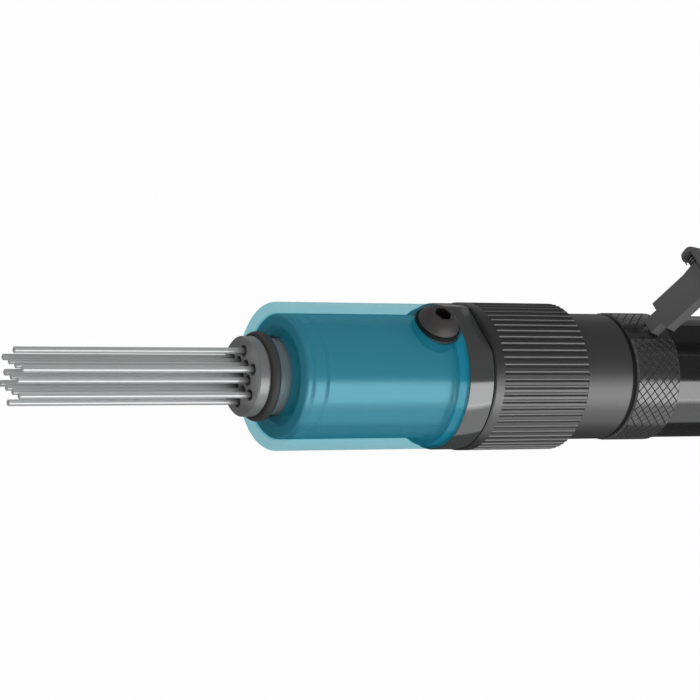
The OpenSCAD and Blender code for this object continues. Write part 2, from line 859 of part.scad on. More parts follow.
module handle() {
    bore = cylinder_r + seat_gap;
    exhaust_from = x_exhaust - exhaust_groove_w / 2;
    exhaust_to = x_exhaust + exhaust_groove_w / 2;
    color(gloss_black)
        difference() {
            union() {
                turned([
                    [x_handle_front, hub_spigot_r + seat_gap],
                    [x_handle_front, knurl_seat_r],
                    [x_knurl_rear, knurl_seat_r],
                    [x_knurl_rear, handle_r],
                    [x_handle_rear, handle_r],
                    [x_handle_rear, cap_spigot_r + seat_gap],
                    [x_handle_rear - cap_spigot_len, cap_spigot_r + seat_gap],
                    [x_handle_rear - cap_spigot_len, 0],
                    [x_hammer_rear, 0],
                    [x_hammer_rear, bore],
                    [exhaust_to, bore],
                    [exhaust_to, bore + exhaust_groove_depth],
                    [exhaust_from, bore + exhaust_groove_depth],
                    [exhaust_from, bore],
                    [x_handle_front + hub_spigot_len, bore],
                    [x_handle_front + hub_spigot_len, hub_spigot_r + seat_gap]
                ]);
                difference() {
                    hinge_lug(cheek_in - free_gap);
                    bar(x_hinge - handle_r, x_hinge + handle_r, handle_r - flat_cut - lug_sink);
                }
            }
            translate([x_handle_front - 1, -slot_w, handle_flat])
                cube([x_hinge - ear_r - x_handle_front + 1, 2 * slot_w, knurl_r]);
            toe_pocket();
            cross_bar(x_hinge, hinge_h, lever_pin_d / 2 + seat_gap, -lever_w, lever_w);
            translate([x_plunger, 0, -chamber_depth])
                cylinder(h = 2 * chamber_depth + knurl_r, d = valve_bush_d + 2 * seat_gap);
            translate([x_plunger, 0, -4])
                rotate([0, 90, 0])
                    cylinder(h = x_handle_rear - x_plunger, r = 3);
            translate([x_hammer_rear - 1, 0, air_way_h])
                rotate([0, 90, 0])
                    cylinder(h = x_plunger - x_hammer_rear, r = air_way_r);
            for (a = [-30, 0, 30])
                rotate([180 + a, 0, 0])
                    translate([x_exhaust, 0, exhaust_r])
                        rotate([0, 90, 0])
                            cylinder(h = x_handle_rear - x_exhaust + 1, r = 1.5);
        }
}

// The lever's channel, seen from its end, with its lips turned in
module lever_section() {
    half = lever_w / 2;
    difference() {
        rounded_plate(-half, lever_bottom, half, lever_top, bend_r + lever_t);
        rounded_plate(-cheek_in, lever_bottom + lever_t, cheek_in, lever_top - lever_t, bend_r);
        translate([-lip_edge, lever_bottom - 1])
            square([2 * lip_edge, lever_t + 2]);
    }
}

// The lever's outline from the side
module lever_outline() {
    rounded_plate(-lever_len, lever_bottom - 0.1, -lever_len / 2, lever_top + 0.1, nose_round);
    translate([-lever_len + 2 * nose_round, lever_bottom - 0.1])
        square([lever_len - 2 * nose_round, lever_depth + 0.2]);
}

module throttle_lever() {
    notch = spring_r + latch_wire_d + 1.2;
    color(dark_steel)
        on_lever()
            difference() {
                union() {
                    intersection() {
                        translate([-lever_len, 0, 0])
                            rotate([90, 0, 90])
                                linear_extrude(height = lever_len)
                                    lever_section();
                        translate([0, lever_w, 0])
                            rotate([90, 0, 0])
                                linear_extrude(height = 2 * lever_w)
                                    lever_outline();
                    }
                    for (s = [-1, 1])
                        cross_bar(0, 0, ear_r, min(s * cheek_in, s * lever_w / 2),
                            max(s * cheek_in, s * lever_w / 2));
                }
                translate([-ear_r - 2, -cheek_in, -lever_depth])
                    cube([3 * ear_r, 2 * cheek_in, 2 * lever_depth]);
                translate([-latch_arm - notch, -cheek_in, lever_bottom - 1])
                    cube([2 * notch, 2 * cheek_in, lever_t + 1 + bend_r]);
                cross_bar(0, 0, lever_pin_d / 2 + run_gap, -lever_w, lever_w);
                cross_bar(-latch_arm, 0, latch_pin_d / 2 + 0.02, -lever_w, lever_w);
            }
}

module lever_pin() {
    color(bright_steel)
        cross_bar(x_hinge, hinge_h, lever_pin_d / 2, -lever_w / 2 - 0.5, lever_w / 2 + 0.5);
}

// The latch hangs down from its pin and leans forward
module on_latch() {
    translate([latch_x, 0, latch_z])
        rotate([0, latch_lean, 0])
            children();
}

module safety_latch() {
    bore = latch_pin_d / 2 + run_gap;
    color(dark_steel)
        on_latch()
            difference() {
                union() {
                    cross_bar(0, 0, knuckle_r, -cheek_in + free_gap, latch_side);
                    translate([-latch_t / 2, -latch_side, -latch_len + toe_len])
                        cube([latch_t, 2 * latch_side, latch_len - toe_len]);
                    translate([-latch_t / 2, -toe_w / 2, -latch_len])
                        cube([latch_t, toe_w, toe_len + 1]);
                }
                cross_bar(0, 0, bore, -lever_w, lever_w);
            }
}

module latch_pin() {
    color(bright_steel)
        translate([latch_x, 0, latch_z])
            cross_bar(0, 0, latch_pin_d / 2, -lever_w / 2 - 0.3, lever_w / 2 + 0.3);
}

module latch_spring() {
    wire_r = latch_wire_d / 2;
    side_gap = free_gap / 2;
    span = cheek_in - latch_side - 2 * wire_r - 2 * side_gap;
    turns = coil_path(span, latch_turns, spring_r, 90);
    web_leg = [for (d = [5, 2.5]) turns[0] + [d, 0, 0]];
    latch_leg = [for (d = [3, 6, 9]) turns[len(turns) - 1] - [0, d, 0]];
    echo(str("Least gap of the latch spring: ", coil_gap(turns, wire_r), " mm"));
    color(bright_steel)
        translate([latch_x, cheek_in - side_gap - wire_r, latch_z])
            rotate([0, lever_rise, 0])
                rotate([90, 0, 0])
                    wire(concat(web_leg, turns, latch_leg), wire_r, [0, 0, 1]);
}

module throttle_plunger() {
    color(bright_steel)
        translate([x_plunger, 0, 0]) {
            translate([0, 0, plunger_foot])
                cylinder(h = plunger_dome_h - plunger_foot, r = plunger_r);
            translate([0, 0, plunger_dome_h])
                sphere(r = plunger_r);
        }
}

module plunger_bush() {
    top = handle_flat + valve_flange_h;
    color("#8a6d3b")
        translate([x_plunger, 0, 0])
            difference() {
                union() {
                    translate([0, 0, seat_h])
                        cylinder(h = top - seat_h, r = valve_bush_r);
                    translate([0, 0, handle_flat])
                        cylinder(h = valve_flange_h, d = valve_flange_d);
                }
                translate([0, 0, seat_h - 1])
                    cylinder(h = 8, r = seat_r);
                translate([0, 0, seat_h])
                    cylinder(h = top, r = plunger_r + run_gap);
                translate([0, 0, top - 1.8])
                    cylinder(h = 2, r = plunger_r + 1.4);
                translate([-valve_bush_r - 1, 0, air_way_h])
                    rotate([0, 90, 0])
                        cylinder(h = valve_bush_r + 1, r = air_way_r);
            }
}

module plunger_seal() {
    top = handle_flat + valve_flange_h;
    color(black_rubber)
        translate([x_plunger, 0, top - 1.8])
            difference() {
                cylinder(h = 1.6, r = plunger_r + 1.4 - seat_gap);
                translate([0, 0, -1])
                    cylinder(h = 4, r = plunger_r + run_gap);
            }
}

module throttle_ball() {
    color(bright_steel)
        translate([x_plunger, 0, ball_h])
            sphere(r = ball_r);
}

module ball_spring() {
    wire_r = ball_wire_d / 2;
    coil_r = ball_r - wire_r - 0.8;
    seat = ball_h - sqrt(ball_r * ball_r - coil_r * coil_r);
    spring_len = seat + chamber_depth - 2 * wire_r - 0.5;
    path = coil_path(spring_len, ball_turns, coil_r);
    echo(str("Least gap of the ball spring: ", coil_gap(path, wire_r), " mm"));
    color(bright_steel)
        translate([x_plunger, 0, -chamber_depth + wire_r + 0.1])
            wire(path, wire_r, [0, 0, 1]);
}

module rear_cap() {
    edge = 4;
    color(gloss_black)
        difference() {
            turned(concat(
                [
                    [x_handle_rear - cap_spigot_len + 0.2, shank_out_d / 2 + seat_gap],
                    [x_handle_rear - cap_spigot_len + 0.2, cap_spigot_r],
                    [x_handle_rear, cap_spigot_r],
                    [x_handle_rear, groove_in],
                    [x_handle_rear + muffler_depth, groove_in],
                    [x_handle_rear + muffler_depth, groove_out],
                    [x_handle_rear, groove_out],
                    [x_handle_rear, handle_r - 0.1]
                ],
                arc([x_cap_rear - edge, handle_r - 0.1 - edge], edge, 90, 0),
                [[x_cap_rear, shank_out_d / 2 + seat_gap]]
            ));
            for (i = [0:exhaust_count - 1])
                rotate([360 * i / exhaust_count, 0, 0])
                    translate([0, 0, exhaust_r])
                        bar(x_handle_rear + muffler_depth - 1, 0, exhaust_d / 2, $fn = 32);
        }
}

module inlet_bushing() {
    shank_from = x_handle_rear - cap_spigot_len + 1;
    color(bright_steel)
        difference() {
            union() {
                intersection() {
                    translate([x_cap_rear, 0, 0])
                        rotate([0, 90, 0])
                            cylinder(h = hex_len, d = hex_af / cos(30), $fn = 6);
                    turned([
                        [x_cap_rear, 0],
                        [x_cap_rear, hex_af],
                        [-1, hex_af / 2 / cos(30)],
                        [0, hex_af / 2],
                        [0, 0]
                    ]);
                }
                bar(shank_from, x_cap_rear, shank_out_d / 2);
            }
            bar(-inlet_depth, 1, inlet_d / 2);
            bar(shank_from - 1, 0, core_r);
        }
}

module inlet_screen() {
    screen_r = core_r - seat_gap;
    from = -inlet_depth - screen_len;
    color(bright_steel)
        difference() {
            bar(from, -inlet_depth, screen_r, $fn = 48);
            bar(from + 0.8, -inlet_depth + 1, screen_r - 0.7, $fn = 48);
            for (x = [for (i = [1:3]) from + i * screen_len / 4])
                for (a = [0:45:135])
                    rotate([a, 0, 0])
                        translate([x, 0, -2 * screen_r])
                            cylinder(h = 4 * screen_r, r = 0.7, $fn = 16);
        }
}

module exhaust_ring() {
    color("#6b6a66")
        pipe(x_handle_rear + 2, x_handle_rear + muffler_depth, groove_out - seat_gap, groove_in + seat_gap);
}

needles();
needle_guide();
nose_ring();
front_tube();
guard_sleeve();
tube_band();
sleeve_screw();
screw_washer();
screw_bush();
needle_spring();
needle_holder();
anvil();
anvil_bush();
fluted_collar();
flange_seal();
neck_hub();
neck_seal();
knurled_ring();
cylinder_sleeve();
piston();
valve_seat();
valve_plate();
valve_cap();
handle();
throttle_lever();
lever_pin();
safety_latch();
latch_pin();
latch_spring();
throttle_plunger();
plunger_bush();
plunger_seal();
throttle_ball();
ball_spring();
rear_cap();
inlet_bushing();
inlet_screen();
exhaust_ring();
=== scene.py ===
"""Looks of an in-line needle scaler: finishes, knurling, springs and softened edges.

Everything is in metres and in the frame of the solids: X runs along the tool with the
needles towards -X, +Z is the lever side, and the origin is the centre of the air inlet.
"""

import logging
import math
from dataclasses import dataclass, field
from enum import Enum

import bmesh
import bpy
from mathutils import Matrix, Vector


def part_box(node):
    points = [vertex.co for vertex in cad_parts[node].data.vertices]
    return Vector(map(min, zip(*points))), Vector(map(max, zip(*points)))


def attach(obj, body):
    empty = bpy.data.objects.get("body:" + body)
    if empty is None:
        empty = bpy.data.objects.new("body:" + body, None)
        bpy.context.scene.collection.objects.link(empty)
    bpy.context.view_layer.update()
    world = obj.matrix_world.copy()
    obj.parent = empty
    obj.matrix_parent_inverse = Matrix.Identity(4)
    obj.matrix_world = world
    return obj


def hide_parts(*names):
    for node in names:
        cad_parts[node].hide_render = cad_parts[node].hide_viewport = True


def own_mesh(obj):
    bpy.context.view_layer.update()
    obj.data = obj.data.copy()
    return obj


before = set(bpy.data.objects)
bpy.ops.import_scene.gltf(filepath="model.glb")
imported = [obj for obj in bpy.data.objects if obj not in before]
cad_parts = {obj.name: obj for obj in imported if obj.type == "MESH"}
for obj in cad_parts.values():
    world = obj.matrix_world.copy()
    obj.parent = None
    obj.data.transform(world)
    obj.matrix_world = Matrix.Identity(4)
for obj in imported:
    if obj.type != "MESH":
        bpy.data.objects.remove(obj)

LOG = logging.getLogger("needle_scaler")
MM = 0.001
SCREW_X = -227.6 * MM
Color = tuple[float, float, float]
Tree = bpy.types.NodeTree
Socket = bpy.types.NodeSocket


class Grain(Enum):
    """The fine surface texture that a finish carries."""

    TURNED = "turned"
    DRAWN = "drawn"
    PEBBLED = "pebbled"
    FELTED = "felted"


class Body(Enum):
    """The moving bodies that a piece can ride on."""

    TOOL = "tool"
    LEVER = "lever"
    LATCH = "latch"


# Shader node groups, each built once

MID_GREY = (0.5, 0.5, 0.5, 1.0)
DARK_GREY = (0.4, 0.4, 0.4, 1.0)
FINE_DETAIL = 3.0
CLOUD_DETAIL = 2.0
CLOUD_SCALE = 60.0
DRAWN_STRETCH = (0.02, 1.0, 1.0)
FELT_ROUGHNESS = 0.8
BUMP_HEIGHT = 0.05 * MM


def new_group(name: str, inputs: dict[str, float | tuple], outputs: dict[str, str]) -> Tree:
    """Makes an empty shader node group with its sockets.

    Args:
        name: The group's name.
        inputs: Socket names with their default values; a tuple makes a colour socket.
        outputs: Socket names with their socket types.

    Returns:
        The group, with a node "in" and a node "out".
    """
    group = bpy.data.node_groups.new(name, "ShaderNodeTree")
    for label, value in inputs.items():
        kind = "NodeSocketColor" if isinstance(value, tuple) else "NodeSocketFloat"
        socket = group.interface.new_socket(name=label, in_out="INPUT", socket_type=kind)
        socket.default_value = value
    for label, kind in outputs.items():
        group.interface.new_socket(name=label, in_out="OUTPUT", socket_type=kind)
    group.nodes.new("NodeGroupInput").name = "in"
    group.nodes.new("NodeGroupOutput").name = "out"
    return group


def math_node(tree: Tree, how: str, a: float | Socket, b: float | Socket | None = None) -> Socket:
    """Adds a Math node.

    Args:
        tree: The tree that gets the node.
        how: The operation's name.
        a: A socket or a number.
        b: A socket or a number, or None where the operation takes one value.

    Returns:
        The node's output socket.
    """
    node = tree.nodes.new("ShaderNodeMath")
    node.operation = how
    for i, value in enumerate((a, b)):
        if isinstance(value, Socket):
            tree.links.new(value, node.inputs[i])
        elif value is not None:
            node.inputs[i].default_value = value
    return node.outputs[0]


def axis_distance(tree: Tree) -> tuple[Socket, Socket]:
    """Adds nodes that give a point's place along the tool and its distance from the axis.

    Args:
        tree: The tree that gets the nodes.

    Returns:
        The sockets with the place along X and the distance from the X axis, in metres.
    """
    coord = tree.nodes.new("ShaderNodeTexCoord")
    split = tree.nodes.new("ShaderNodeSeparateXYZ")
    tree.links.new(coord.outputs["Object"], split.inputs[0])
    y2 = math_node(tree, "POWER", split.outputs["Y"], 2.0)
    z2 = math_node(tree, "POWER", split.outputs["Z"], 2.0)
    return split.outputs["X"], math_node(tree, "SQRT", math_node(tree, "ADD", y2, z2))


def grain_group(grain: Grain) -> Tree:
    """Builds the node group of one grain, or gives the one already built.

    Args:
        grain: Which grain.

    Returns:
        A group that makes a colour, a roughness and a normal of two tones and the grain's values.
    """
    name = f"grain_{grain.value}"
    if name in bpy.data.node_groups:
        return bpy.data.node_groups[name]
    group = new_group(
        name,
        {
            "Tone": MID_GREY, "Second tone": DARK_GREY, "Scale": 1000.0,
            "Roughness": 0.3, "Spread": 0.1, "Depth": 0.1,
        },
        {"Color": "NodeSocketColor", "Roughness": "NodeSocketFloat", "Normal": "NodeSocketVector"},
    )
    ins, outs = group.nodes["in"].outputs, group.nodes["out"].inputs
    fine = group.nodes.new("ShaderNodeTexNoise")
    fine.inputs["Detail"].default_value = FINE_DETAIL
    if grain is Grain.TURNED:
        fine.noise_dimensions = "1D"
        along, out = axis_distance(group)
        place = math_node(group, "ADD", along, out)
        group.links.new(math_node(group, "MULTIPLY", place, ins["Scale"]), fine.inputs["W"])
        fine.inputs["Scale"].default_value = 1.0
    else:
        coord = group.nodes.new("ShaderNodeTexCoord")
        stretch = group.nodes.new("ShaderNodeVectorMath")
        stretch.operation = "MULTIPLY"
        stretch.inputs[1].default_value = DRAWN_STRETCH if grain is Grain.DRAWN else (1.0, 1.0, 1.0)
        group.links.new(coord.outputs["Object"], stretch.inputs[0])
        group.links.new(stretch.outputs[0], fine.inputs["Vector"])
        group.links.new(ins["Scale"], fine.inputs["Scale"])
        if grain is Grain.FELTED:
            fine.inputs["Roughness"].default_value = FELT_ROUGHNESS
    cloud = group.nodes.new("ShaderNodeTexNoise")
    cloud.inputs["Scale"].default_value = CLOUD_SCALE
    cloud.inputs["Detail"].default_value = CLOUD_DETAIL
    cloud_coord = group.nodes.new("ShaderNodeTexCoord")
    group.links.new(cloud_coord.outputs["Object"], cloud.inputs["Vector"])
    total = math_node(group, "ADD", fine.outputs["Fac"], cloud.outputs["Fac"])
    both = math_node(group, "MULTIPLY", total, 0.5)
    mix = group.nodes.new("ShaderNodeMix")
    mix.data_type = "RGBA"
    group.links.new(both, mix.inputs["Factor"])
    group.links.new(ins["Tone"], mix.inputs["A"])
    group.links.new(ins["Second tone"], mix.inputs["B"])
    group.links.new(mix.outputs["Result"], outs["Color"])
    swing = math_node(group, "MULTIPLY", math_node(group, "SUBTRACT", both, 0.5), ins["Spread"])
    group.links.new(math_node(group, "ADD", ins["Roughness"], swing), outs["Roughness"])
    bump = group.nodes.new("ShaderNodeBump")
    bump.inputs["Distance"].default_value = BUMP_HEIGHT
    group.links.new(ins["Depth"], bump.inputs["Strength"])
    group.links.new(fine.outputs["Fac"], bump.inputs["Height"])
    group.links.new(bump.outputs["Normal"], outs["Normal"])
    return group


def fade_group() -> Tree:
    """Builds the node group that changes a colour along the tool, or gives the one already built.

    Returns:
        A group that blends a colour into a second one over a length behind a start, in metres along X.
    """
    name = "tone_fade"
    if name in bpy.data.node_groups:
        return bpy.data.node_groups[name]
    group = new_group(
        name,
        {"Color": MID_GREY, "Second tone": DARK_GREY, "Start": 0.0, "Length": MM},
        {"Color": "NodeSocketColor"},
    )
    ins, outs = group.nodes["in"].outputs, group.nodes["out"].inputs
    reach = group.nodes.new("ShaderNodeMapRange")
    group.links.new(axis_distance(group)[0], reach.inputs["Value"])
    group.links.new(ins["Start"], reach.inputs["From Min"])
    group.links.new(math_node(group, "ADD", ins["Start"], ins["Length"]), reach.inputs["From Max"])
    mix = group.nodes.new("ShaderNodeMix")
    mix.data_type = "RGBA"
    group.links.new(reach.outputs["Result"], mix.inputs["Factor"])
    group.links.new(ins["Color"], mix.inputs["A"])
    group.links.new(ins["Second tone"], mix.inputs["B"])
    group.links.new(mix.outputs["Result"], outs["Color"])
    return group


def place_group(tree: Tree, group: Tree, values: dict[str, float | Color]) -> bpy.types.Node:
    """Places a node group in a material.

    Args:
        tree: The material's tree.
        group: The group.
        values: The values of its inputs by their names; a tuple is a colour.

    Returns:
        The group's node in the material.
    """
    node = tree.nodes.new("ShaderNodeGroup")
    node.node_tree = group
    for label, value in values.items():
        node.inputs[label].default_value = (*value, 1.0) if isinstance(value, tuple) else value
    return node


# Finishes


def new_material(name: str, tone: Color, alpha: float = 1.0) -> bpy.types.Material:
    """Makes a material with a Principled shader.

    Args:
        name: The material's name.
        tone: Its colour in a plain viewport.
        alpha: How solid it is there.

    Returns:
        The material.
    """
    mat = bpy.data.materials.new(name)
    mat.use_nodes = True
    mat.diffuse_color = (*tone, alpha)
    return mat


@dataclass(frozen=True)
class Fade:
    """A change of tone along the tool: where it starts, over what length, and the tone behind."""

    start: float
    length: float
    tone: Color


@dataclass(frozen=True)
class Finish:
    """A surface finish with a grain, and a fade where it has one, made once as a material."""

    name: str
    slot: str
    tone: Color
    second: Color
    metallic: float
    roughness: float
    spread: float = 0.1
    grain: Grain = Grain.PEBBLED
    scale: float = 2500.0
    depth: float = 0.1
    fade: Fade | None = None

    def material(self) -> bpy.types.Material:
        """Gives the finish's material, built on first use.

        Returns:
            The material.
        """
        name = f"{self.name}_finish"
        if name in bpy.data.materials:
            return bpy.data.materials[name]
        mat = new_material(name, self.tone)
        tree = mat.node_tree
        shader = tree.nodes["Principled BSDF"]
        shader.inputs["Metallic"].default_value = self.metallic
        values = {
            "Tone": self.tone, "Second tone": self.second, "Scale": self.scale,
            "Roughness": self.roughness, "Spread": self.spread, "Depth": self.depth,
        }
        grained = place_group(tree, grain_group(self.grain), values)
        color = grained.outputs["Color"]
        if self.fade:
            values = {"Second tone": self.fade.tone, "Start": self.fade.start, "Length": self.fade.length}
            faded = place_group(tree, fade_group(), values)
            tree.links.new(color, faded.inputs["Color"])
            color = faded.outputs["Color"]
        tree.links.new(color, shader.inputs["Base Color"])
        tree.links.new(grained.outputs["Roughness"], shader.inputs["Roughness"])
        tree.links.new(grained.outputs["Normal"], shader.inputs["Normal"])
        return mat

    def put_on(self, obj: bpy.types.Object) -> bpy.types.Object:
        """Dresses an object in this finish.

        Args:
            obj: A node of the frame or a new piece.

        Returns:
            The same object.
        """
        dress(obj, self.material())
        return obj


def dress(obj: bpy.types.Object, mat: bpy.types.Material) -> None:
    """Gives an object one material in its own material slots.

    Args:
        obj: The object.
        mat: The material.
    """
    if not obj.material_slots:
        obj.data.materials.append(mat)
    for material_slot in obj.material_slots:
        material_slot.material = mat


@dataclass(frozen=True)
class SeeThroughTeal:
    """Clear teal plastic: it filters what lies behind, and its outside adds a faint bloom.

    The bloom is on what lies outside the bore or in front of the front wall's inner face, and
    there is less of it round the screw's hole: painted shade under the screw's head.
    """

    name: str = "clear_teal"
    slot: str = "teal_sleeve"
    tone: Color = (0.003, 0.48, 0.72)
    second: Color = (0.004, 0.44, 0.67)
    tint: Color = (0.705, 0.925, 0.95)
    alpha: float = 0.6
    scale: float = 300.0
    roughness: float = 0.2
    spread: float = 0.05
    specular: float = 0.9
    bloom: float = 0.33
    bore: float = 20.6 * MM
    front: float = -278.1 * MM
    hole_r: float = 8.0 * MM
    hole_z: float = 21.8 * MM
    hole_squash: float = 0.3
    hole_shade_share: float = 0.2

    def bloom_amount(self, tree: Tree) -> Socket:
        """Adds nodes that say how much bloom a point has.

        Args:
            tree: The material's tree.

        Returns:
            The amount: none on the bore, little round the screw's hole, which is painted shade under the
                screw's head, and most elsewhere outside.
        """
        along, out = axis_distance(tree)
        coord = tree.nodes.new("ShaderNodeTexCoord")
        from_screw = tree.nodes.new("ShaderNodeVectorMath")
        from_screw.operation = "MULTIPLY_ADD"
        from_screw.inputs[1].default_value = (1.0, 1.0, self.hole_squash)
        from_screw.inputs[2].default_value = (-SCREW_X, 0.0, -self.hole_squash * self.hole_z)
        tree.links.new(coord.outputs["Object"], from_screw.inputs[0])
        length = tree.nodes.new("ShaderNodeVectorMath")
        length.operation = "LENGTH"
        tree.links.new(from_screw.outputs[0], length.inputs[0])
        # Round the screw's hole the bloom drops to a small share: painted shade under the head.
        beyond = math_node(tree, "GREATER_THAN", length.outputs["Value"], self.hole_r)
        beyond = math_node(tree, "MULTIPLY", beyond, 1.0 - self.hole_shade_share)
        skin = math_node(tree, "GREATER_THAN", out, self.bore)
        outside = math_node(tree, "MAXIMUM", skin, math_node(tree, "LESS_THAN", along, self.front))
        bloom = math_node(tree, "MULTIPLY", outside, self.bloom)
        return math_node(tree, "MULTIPLY", bloom, math_node(tree, "ADD", beyond, self.hole_shade_share))

    def material(self) -> bpy.types.Material:
        """Builds the material.

        Returns:
            The material.
        """
        mat = new_material(f"{self.name}_finish", self.tone, self.alpha)
        tree = mat.node_tree
        shader = tree.nodes["Principled BSDF"]
        values = {
            "Tone": self.tone, "Second tone": self.second, "Scale": self.scale,
            "Roughness": self.roughness, "Spread": self.spread,
        }
        grained = place_group(tree, grain_group(Grain.PEBBLED), values)
        tree.links.new(grained.outputs["Color"], shader.inputs["Base Color"])
        tree.links.new(grained.outputs["Roughness"], shader.inputs["Roughness"])
        shader.inputs["Specular IOR Level"].default_value = self.specular
        clear = tree.nodes.new("ShaderNodeBsdfTransparent")
        clear.inputs["Color"].default_value = (*self.tint, 1.0)
        both = tree.nodes.new("ShaderNodeMixShader")
        tree.links.new(self.bloom_amount(tree), both.inputs[0])
        tree.links.new(clear.outputs[0], both.inputs[1])
        tree.links.new(shader.outputs[0], both.inputs[2])
        tree.links.new(both.outputs[0], tree.nodes["Material Output"].inputs["Surface"])
        return mat


BRIGHT_NEEDLE = Finish(
    "bright_needle", "needle_steel", tone=(0.93, 0.94, 0.95), second=(0.82, 0.83, 0.84),
    metallic=0.35, roughness=0.22, spread=0.08, grain=Grain.DRAWN, scale=1500.0, depth=0.015,
)
# The fade to near black behind -293.5 mm is painted shade where the needles run into the guide's holes.
SHADE_FADED_NEEDLE = Finish(
    "shade_faded_needle", "needle_steel", tone=(0.97, 0.975, 0.98), second=(0.88, 0.89, 0.90),
    metallic=0.56, roughness=0.16, spread=0.06, grain=Grain.DRAWN, scale=1500.0, depth=0.015,
    fade=Fade(-293.5 * MM, 5.0 * MM, (0.015, 0.015, 0.016)),
)
TURNED_STEEL = Finish(
    "turned_steel", "machined_steel", tone=(0.34, 0.34, 0.345), second=(0.27, 0.27, 0.275),
    metallic=0.9, roughness=0.26, grain=Grain.TURNED, scale=5000.0,
)
NOSE_STEEL = Finish(
    "nose_steel", "machined_steel", tone=(0.50, 0.50, 0.50), second=(0.41, 0.41, 0.41),
    metallic=0.6, roughness=0.3, grain=Grain.TURNED, scale=5000.0,
)
TUBE_STEEL = Finish(
    "tube_steel", "tube_steel", tone=(0.94, 0.77, 0.75), second=(0.86, 0.70, 0.69),
    metallic=0.72, roughness=0.24, spread=0.06, grain=Grain.TURNED, scale=4000.0, depth=0.05,
)
BAND_STEEL = Finish(
    "band_steel", "satin_steel", tone=(0.95, 0.74, 0.72), second=(0.88, 0.68, 0.66),
    metallic=0.85, roughness=0.12, spread=0.05, grain=Grain.TURNED, scale=6000.0, depth=0.03,
    fade=Fade(-220.2 * MM, 0.3 * MM, (0.335, 0.34, 0.34)),
)
COLLAR_STEEL = Finish(
    "collar_steel", "satin_steel", tone=(0.31, 0.31, 0.312), second=(0.25, 0.25, 0.252),
    metallic=0.95, roughness=0.42, spread=0.08, depth=0.05,
)
NECK_STEEL = Finish(
    "neck_steel", "satin_steel", tone=(0.30, 0.30, 0.302), second=(0.25, 0.25, 0.252),
    metallic=0.9, roughness=0.42, spread=0.06, grain=Grain.TURNED, scale=5000.0, depth=0.08,
)
KNURL_STEEL = Finish(
    "knurl_steel", "knurled_steel", tone=(0.34, 0.34, 0.342), second=(0.28, 0.28, 0.282),
    metallic=0.9, roughness=0.2, depth=0.06,
)
GROOVE_STEEL = Finish(
    "groove_steel", "knurled_steel", tone=(0.15, 0.15, 0.153), second=(0.11, 0.11, 0.113),
    metallic=0.3, roughness=0.45, depth=0.06,
)
GLOSS_BLACK = Finish(
    "gloss_black", "gloss_black", tone=(0.27, 0.27, 0.272), second=(0.24, 0.24, 0.242),
    metallic=0.97, roughness=0.13, spread=0.05, scale=900.0, depth=0.015,
)
BLACK_OXIDE = Finish(
    "black_oxide", "black_screw", tone=(0.13, 0.122, 0.12), second=(0.10, 0.093, 0.091),
    metallic=0.5, roughness=0.42, spread=0.12, scale=3000.0, depth=0.12,
)
# Near black that stands for shade: on the washer it is the painted shadow under the screw's head, and in the
# screw's socket it is painted shade in the recess.
UNDERHEAD_SHADE_BLACK = Finish(
    "painted_shade_black", "black_screw", tone=(0.016, 0.016, 0.016), second=(0.011, 0.011, 0.011),
    metallic=0.2, roughness=0.5, grain=Grain.TURNED, scale=3000.0,
)
LEVER_COAT = Finish(
    "lever_coat", "lever_black", tone=(0.19, 0.19, 0.192), second=(0.15, 0.15, 0.152),
    metallic=0.35, roughness=0.38, scale=2200.0, depth=0.12,
)
SPRING_WIRE = Finish(
    "spring_wire", "spring_steel", tone=(0.42, 0.42, 0.43), second=(0.32, 0.32, 0.33),
    metallic=1.0, roughness=0.3, spread=0.12, scale=3000.0, depth=0.08,
)
BEARING_BRONZE = Finish(
    "bearing_bronze", "bronze", tone=(0.50, 0.33, 0.15), second=(0.40, 0.25, 0.10),
    metallic=1.0, roughness=0.32, grain=Grain.TURNED, scale=4000.0,
)
MOULDED_RUBBER = Finish(
    "moulded_rubber", "black_rubber", tone=(0.075, 0.071, 0.07), second=(0.058, 0.055, 0.054),
    metallic=0.0, roughness=0.45, depth=0.15,
)
SEAL_RUBBER = Finish(
    "seal_rubber", "black_rubber", tone=(0.012, 0.012, 0.012), second=(0.008, 0.008, 0.008),
    metallic=0.0, roughness=0.6, depth=0.15,
)
PRESSED_FELT = Finish(
    "pressed_felt", "muffler_felt", tone=(0.16, 0.16, 0.15), second=(0.09, 0.09, 0.085),
    metallic=0.0, roughness=0.9, spread=0.05, grain=Grain.FELTED, scale=4000.0, depth=0.6,
)
CLEAR_TEAL = SeeThroughTeal()


# Mesh helpers

SAME_POINT = 1e-7
SAME_CAD_POINT = 2e-6
ON_PLANE = 1e-6
CREASE_DEG = 30.0
WIRE_CREASE_DEG = 50.0
SOFT_EDGE_DEG = 32.0
SOFT_CREASE_DEG = 28.0
SOFT_STEPS = 2
FLAT_DEG = 1.0
CUTTER_CLEAR = 1.0 * MM


def dress_nodes(plain: dict[str, Finish]) -> None:
    """Puts finishes on nodes that keep their own solids.

    Args:
        plain: The nodes' names with their finishes.
    """
    for node, finish in plain.items():
        finish.put_on(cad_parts[node])


def new_piece(name: str, mesh: bpy.types.Mesh) -> bpy.types.Object:
    """Links a mesh into the scene as a piece.

    Args:
        name: The piece's name.
        mesh: Its mesh, in the frame's coordinates.

    Returns:
        The new object, at the origin.
    """
    obj = bpy.data.objects.new(name, mesh)
    bpy.context.scene.collection.objects.link(obj)
    return obj


def mesh_from(
    name: str, points: list[Vector], faces: list[list[int]], crease_deg: float = CREASE_DEG
) -> bpy.types.Mesh:
    """Makes a mesh with outward faces, smooth apart from its creases.

    Args:
        name: The mesh's name.
        points: Its points.
        faces: Its faces, as indices of points.
        crease_deg: Edges that bend more than this stay sharp.

    Returns:
        The mesh.
    """
    mesh = bpy.data.meshes.new(name)
    mesh.from_pydata([tuple(p) for p in points], [], faces)
    finish_mesh(mesh, crease_deg)
    return mesh


